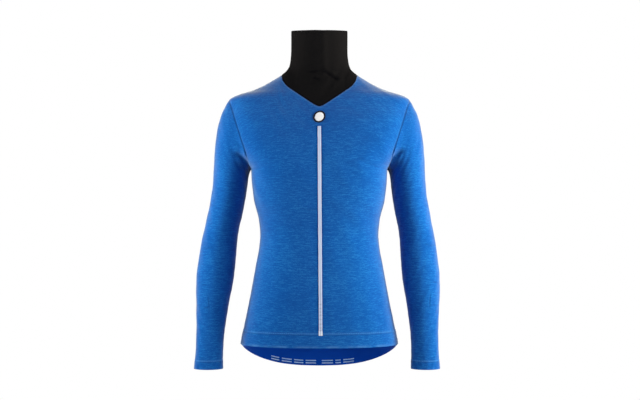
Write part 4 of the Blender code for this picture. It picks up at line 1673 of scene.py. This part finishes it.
@dataclass
class Studio:
    """Camera, lamps, white surroundings and a pale floor at a standing wearer's feet."""

    eye: tuple[float, float, float] = (0.0016, -3.2, -0.294)
    lens: float = 76.6
    floor_z: float = -1.45
    floor_radius: float = 3.4
    fill: float = 0.41
    overhead: float = 0.3  # how much of the fill also comes from straight above
    fill_colour: str = "a4d0ff"
    lamps: tuple[SoftBox, ...] = (
        SoftBox("tall_left", (-1.45, -0.38, 0.08), (0.0, 0.0, -0.15), (0.4, 0.8), 8.4),
        SoftBox("tall_right", (1.45, -0.38, 0.08), (0.0, 0.0, -0.15), (0.4, 0.8), 28.0),
        SoftBox("low_left", (-1.45, -0.38, -0.6), (0.0, 0.0, -0.35), (0.4, 0.9), 5.0),
        SoftBox("low_right", (1.45, -0.38, -0.6), (0.0, 0.0, -0.35), (0.4, 0.9), 13.5),
        SoftBox("chest_left", (-0.8, -0.42, 0.0), (-0.14, -0.05, -0.17), (0.2, 0.3), 1.75),
        SoftBox("chest_right", (0.8, -0.42, 0.0), (0.14, -0.05, -0.17), (0.2, 0.3), 2.2),
        SoftBox("belly_left", (-0.72, -0.48, -0.28), (-0.12, 0.0, -0.33), (0.2, 0.3), 1.9),
        SoftBox("belly_right", (0.72, -0.48, -0.28), (0.12, 0.0, -0.33), (0.2, 0.3), 2.2),
        SoftBox("side_left", (-0.95, -0.18, -0.1), (-0.15, 0.0, -0.2), (0.2, 0.3), 4.8),
        SoftBox("rear_left", (-1.2, 0.9, -0.35), (-0.15, 0.0, -0.4), (0.4, 0.9), 5.0),
        SoftBox("rear_right", (1.2, 0.9, -0.35), (0.15, 0.0, -0.4), (0.4, 0.9), 5.5),
        SoftBox("behind", (0.3, 1.8, -0.2), (0.0, 0.0, -0.3), (1.2, 1.2), 5.0),
    )

    def build(self) -> None:
        """Sets the stage up and the view to plain sRGB."""
        self.camera()
        self.world()
        self.floor()
        for lamp in self.lamps:
            lamp.build()
        bpy.context.scene.view_settings.view_transform = "Standard"

    def camera(self) -> None:
        """A level camera in front of the garment."""
        data = bpy.data.cameras.new("camera")
        data.lens = self.lens
        camera = bpy.data.objects.new("camera", data)
        camera.location = self.eye
        camera.rotation_euler = (math.radians(90), 0.0, 0.0)
        bpy.context.scene.collection.objects.link(camera)
        bpy.context.scene.camera = camera

    def world(self) -> None:
        """White where the camera sees it, and a soft fill for everything else."""
        world = bpy.data.worlds.new("surroundings")
        world.use_nodes = True
        bpy.context.scene.world = world
        tree = world.node_tree
        seen = self.seen_directly(tree)
        place = add_node(tree, "ShaderNodeTexCoord").outputs["Generated"]
        height = add_node(tree, "ShaderNodeSeparateXYZ", None, {0: place}).outputs["Z"]
        fill = add_node(
            tree,
            "ShaderNodeMapRange",
            {"From Min": 0.0, "From Max": 0.7, "To Min": self.fill, "To Max": self.fill * self.overhead},
            {"Value": height},
        ).outputs[0]
        strength = add_node(tree, "ShaderNodeMapRange", None, {"To Min": fill, "Value": seen}).outputs[0]
        tint = add_node(
            tree,
            "ShaderNodeMix",
            {"data_type": "RGBA", "#6": linear(self.fill_colour), "#7": linear("ffffff")},
            {0: seen},
        ).outputs[2]
        background = tree.nodes["Background"]
        tree.links.new(tint, background.inputs["Color"])
        tree.links.new(strength, background.inputs["Strength"])

    def seen_directly(self, tree: bpy.types.NodeTree) -> bpy.types.NodeSocket:
        """1 for rays that show the surroundings themselves, and 0 for those that light a surface."""
        path = add_node(tree, "ShaderNodeLightPath").outputs
        glossy = add_node(
            tree,
            "ShaderNodeMath",
            {"operation": "MAXIMUM"},
            {0: path["Is Camera Ray"], 1: path["Is Glossy Ray"]},
        ).outputs[0]
        return add_node(
            tree, "ShaderNodeMath", {"operation": "MAXIMUM"}, {0: glossy, 1: path["Is Transmission Ray"]}
        ).outputs[0]

    def floor(self) -> None:
        """A round pale floor that keeps the shadow and fades into the white round it."""
        sides = 96
        turn = math.tau * np.arange(sides) / sides
        radius = self.floor_radius / MM
        flat = np.stack([np.cos(turn), np.sin(turn), 0 * turn], -1) * radius
        points = flat + np.array((0.0, 0.0, self.floor_z / MM))
        floor = shown_mesh("floor", points, [list(range(sides))])
        material, tree, shader = fresh_material("pale_paper")
        shader.inputs["Base Color"].default_value = linear("e6e6e6")
        shader.inputs["Roughness"].default_value = 0.9
        place = add_node(tree, "ShaderNodeTexCoord").outputs["Object"]
        apart = add_node(tree, "ShaderNodeVectorMath", {"operation": "LENGTH"}, {0: self.flat(tree, place)})
        rim = add_node(
            tree,
            "ShaderNodeMapRange",
            {"From Min": 0.25 * self.floor_radius, "From Max": 0.95 * self.floor_radius, "To Min": 0.45},
            {"Value": apart.outputs["Value"]},
        ).outputs[0]
        seen = self.seen_directly(tree)
        share = add_node(tree, "ShaderNodeMath", {"operation": "MULTIPLY"}, {0: rim, 1: seen}).outputs[0]
        glow = add_node(tree, "ShaderNodeEmission").outputs[0]
        mixed = add_node(tree, "ShaderNodeMixShader", None, {0: share, 1: shader.outputs[0], 2: glow})
        tree.links.new(mixed.outputs[0], tree.nodes["Material Output"].inputs["Surface"])
        floor.data.materials.append(material)

    def flat(self, tree: bpy.types.NodeTree, place: bpy.types.NodeSocket) -> bpy.types.NodeSocket:
        """A place with its height left out."""
        return add_node(
            tree, "ShaderNodeVectorMath", {"operation": "MULTIPLY", "#1": (1.0, 1.0, 0.0)}, {0: place}
        ).outputs[0]


# ---------------------------------------------------------------- folds of each piece
# where a fold gives a dark, its bottom gets that much painted shade
FRONT_CREASES = (
    Crease(((70, -190), (110, -214), (150, -226)), 5.0, -0.9),
    Crease(((-70, -188), (-108, -214), (-150, -226)), 5.0, -0.8),
    Crease(((-36, -196), (0, -203), (40, -194)), 16.0, -1.0),
    Crease(((-46, -314), (-16, -316), (6, -314)), 1.6, -0.5, dark=0.3),
    Crease(((96, -545), (128, -560), (160, -600)), 6.0, -0.7),
    Crease(((-150, -600), (-110, -566), (-80, -560)), 6.0, -0.6),
    Crease(((60, -590), (100, -604), (120, -606)), 3.5, -0.7),
)
BACK_CREASES = mirrored(FRONT_CREASES) + (
    Crease(((-20, -60), (0, -150), (4, -300)), 14.0, -1.2, Facing.BACK),
    Crease(((40, -420), (90, -436), (130, -428)), 6.0, -1.0, Facing.BACK),
    Crease(((-120, -440), (-70, -452), (-30, -446)), 6.0, -0.9, Facing.BACK),
)
ARM_CREASES = (
    Crease(((164, -192), (174, -178), (187, -166), (202, -157)), 4.0, 1.5, end_share=0.25),
    Crease(((158, -218), (170, -201), (184, -187), (198, -176)), 5.4, -4.6, end_share=0.22, dark=0.5),
    Crease(((158, -240), (172, -219), (186, -202), (194, -194)), 9.5, -0.6, end_share=0.3, dark=0.55),
    Crease(((196, -142), (212, -134), (234, -124)), 2.0, -0.7),
    Crease(((232, -372), (262, -384), (274, -388)), 3.0, -0.9),
    Crease(((242, -396), (262, -401), (274, -400)), 1.6, -1.0, dark=0.4),
    Crease(((276, -486), (268, -485), (260, -486)), 1.3, -0.8, dark=0.4),
    Crease(((258, -503), (256, -524), (254, -552)), 1.5, -1.3, dark=0.5),
    Crease(((270, -538), (262, -536), (254, -538)), 1.4, -1.0, dark=0.5),
    Crease(((224, -404), (240, -396), (262, -399)), 3.0, -0.9, Facing.BACK),
    Crease(((220, -420), (244, -414), (268, -418)), 3.0, -0.8, Facing.BACK),
    Crease(((176, -190), (196, -178), (222, -170)), 2.6, -1.0, Facing.BACK),
)
COLLAR_CREASES = (
    Crease(((-2, 8), (12, 3), (28, -7), (50, -19)), 4.2, -4.4, end_share=0.3, dark=0.6),
    Crease(((6, 11), (22, 4), (42, -6)), 5.0, 2.2, end_share=0.3),
    Crease(((-30, 4), (-12, 3), (4, 6)), 3.0, -1.6, dark=0.5),
    Crease(((-18, -9), (-4, -14), (6, -19)), 3.0, -1.4, dark=0.5),
    Crease(((9, 100), (9, 40), (12, -10)), 9.0, 3.8, end_share=0.08),
    Crease(((-12, 100), (-14, 40), (-14, -30)), 13.0, -3.4, end_share=0.08),
    Crease(((-28, 6), (-6, -4), (24, 2)), 3.2, -1.2, Facing.BACK),
    Crease(((10, -12), (30, -4), (52, 2)), 3.0, -1.0, Facing.BACK),
)


def sleeve_creases(side: Side) -> tuple[Crease, ...]:
    """The folds of one sleeve, a little different on each side."""
    shift = 0.0 if side is Side.LEFT else 6.0
    return tuple(
        Crease(
            tuple((side.value * x, z - shift) for x, z in c.line),
            c.width,
            c.depth,
            c.facing,
            c.end_share,
            c.dark,
        )
        for c in ARM_CREASES
    )


# ---------------------------------------------------------------- the garment
@dataclass
class BaseLayer:
    """The whole garment: builds each piece, dresses it and ties it to the frame."""

    jersey: bpy.types.Material = field(default_factory=lambda: HeatheredJersey().material())
    black: bpy.types.Material = field(default_factory=lambda: StretchJersey().material())
    thread: bpy.types.Material = field(default_factory=lambda: SpunThread().material())

    def tie(
        self, piece: bpy.types.Object, material: bpy.types.Material, slot: str, *nodes: str
    ) -> bpy.types.Object:
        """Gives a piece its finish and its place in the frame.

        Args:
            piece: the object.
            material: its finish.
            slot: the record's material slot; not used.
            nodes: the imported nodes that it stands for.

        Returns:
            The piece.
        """
        piece.data.materials.append(material)
        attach(piece, "root")
        if nodes:
            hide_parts(*nodes)
        LOG.info("%s: %d faces", piece.name, len(piece.data.polygons))
        return piece

    def build_panels(self) -> None:
        """The front with its tape and badge, and the back with the print inside its tail."""
        front = BodyPanel(Facing.FRONT, FRONT_CREASES)
        cloth = front.cloth()
        self.press_round_tape(cloth)
        panel = self.tie(cloth.build("front_cloth"), self.jersey, "blue_knit", "front")
        stitches = StitchLine("front_hem_stitches").build(*front.line_above_hem(cloth, HEM.height))
        self.tie(stitches, self.thread, "blue_knit")
        tape = self.tie(CentreTape().build(), BondedTape().material(), "pale_tape", "centre_stripe")
        badge = Badge()
        ink = PrintedFilm(name="dark_transfer", ink="0c1322", worn="1c2a44").material()
        white = PrintedFilm(name="white_transfer", ink="f1f5fd", worn="dfe4ee").material()
        ring = self.tie(badge.build_ring(), ink, "badge_ink", "badge_rim")
        disc = self.tie(badge.build_face(), white, "badge_white", "badge_face")
        back = BodyPanel(Facing.BACK, BACK_CREASES, seed=21)
        cloth = back.cloth()
        panel = self.tie(cloth.build("back_cloth"), self.jersey, "blue_knit", "back")
        line = back.line_above_hem(cloth, HEM.height)
        stitches = self.tie(StitchLine("back_hem_stitches", seed=72).build(*line), self.thread, "blue_knit")
        print_ink = PrintedFilm(name="pale_print", ink="b4daff", worn="8cc0f6").material()
        dashes = self.tie(TailPrint().build(cloth), print_ink, "pale_tape")

    def press_round_tape(self, cloth: Cloth) -> None:
        """Sinks the cloth a little along both edges of the tape, and round the badge, with painted shade in
        the dips beside the tape.
        """
        tape, badge = CentreTape(), Badge()
        x, z = cloth.points[..., 0], cloth.points[..., 2]
        beside = np.abs(x - tape.centre(z)) - tape.half_width
        along = eased(tape.bottom_z - 3, tape.bottom_z + 1, z) * eased(-tape.top_z - 3, -tape.top_z + 1, -z)
        round_badge = np.hypot(x, z - badge.z) - badge.radius
        on_front = cloth.facing < 0
        dip = np.where(on_front, along * bell(beside - 0.8, 1.4), 0.0)
        cloth.lift(-0.5 * dip - 0.3 * bell(round_badge - 0.8, 1.4))
        # painted shade in the dips beside the tape
        cloth.painted_shade = np.maximum(cloth.painted_shade, 0.5 * dip)

    def build_sleeves(self) -> None:
        """Both sleeves with their cuff stitching."""
        for side, word, seed in ((Side.LEFT, "left", 31), (Side.RIGHT, "right", 41)):
            sleeve = Sleeve(side, sleeve_creases(side), seed=seed)
            cloth = sleeve.cloth()
            piece = self.tie(
                cloth.build(f"sleeve_{word}_cloth"), self.jersey, "blue_knit", f"sleeve_{word}"
            )
            line = sleeve.line_above_cuff(cloth)
            stitches = StitchLine(f"cuff_stitches_{word}", seed=seed).build(*line)
            self.tie(stitches, self.thread, "blue_knit")

    def build_collar(self) -> None:
        """The black collar."""
        piece = Collar(COLLAR_CREASES).cloth().build("collar_cloth")
        self.tie(piece, self.black, "black_knit", "collar")


def main() -> None:
    """Builds the garment and the studio."""
    logging.basicConfig(level=logging.INFO, format="%(message)s")
    garment = BaseLayer()
    garment.build_panels()
    garment.build_sleeves()
    garment.build_collar()
    Studio().build()


if __name__ == "__main__":
    main()
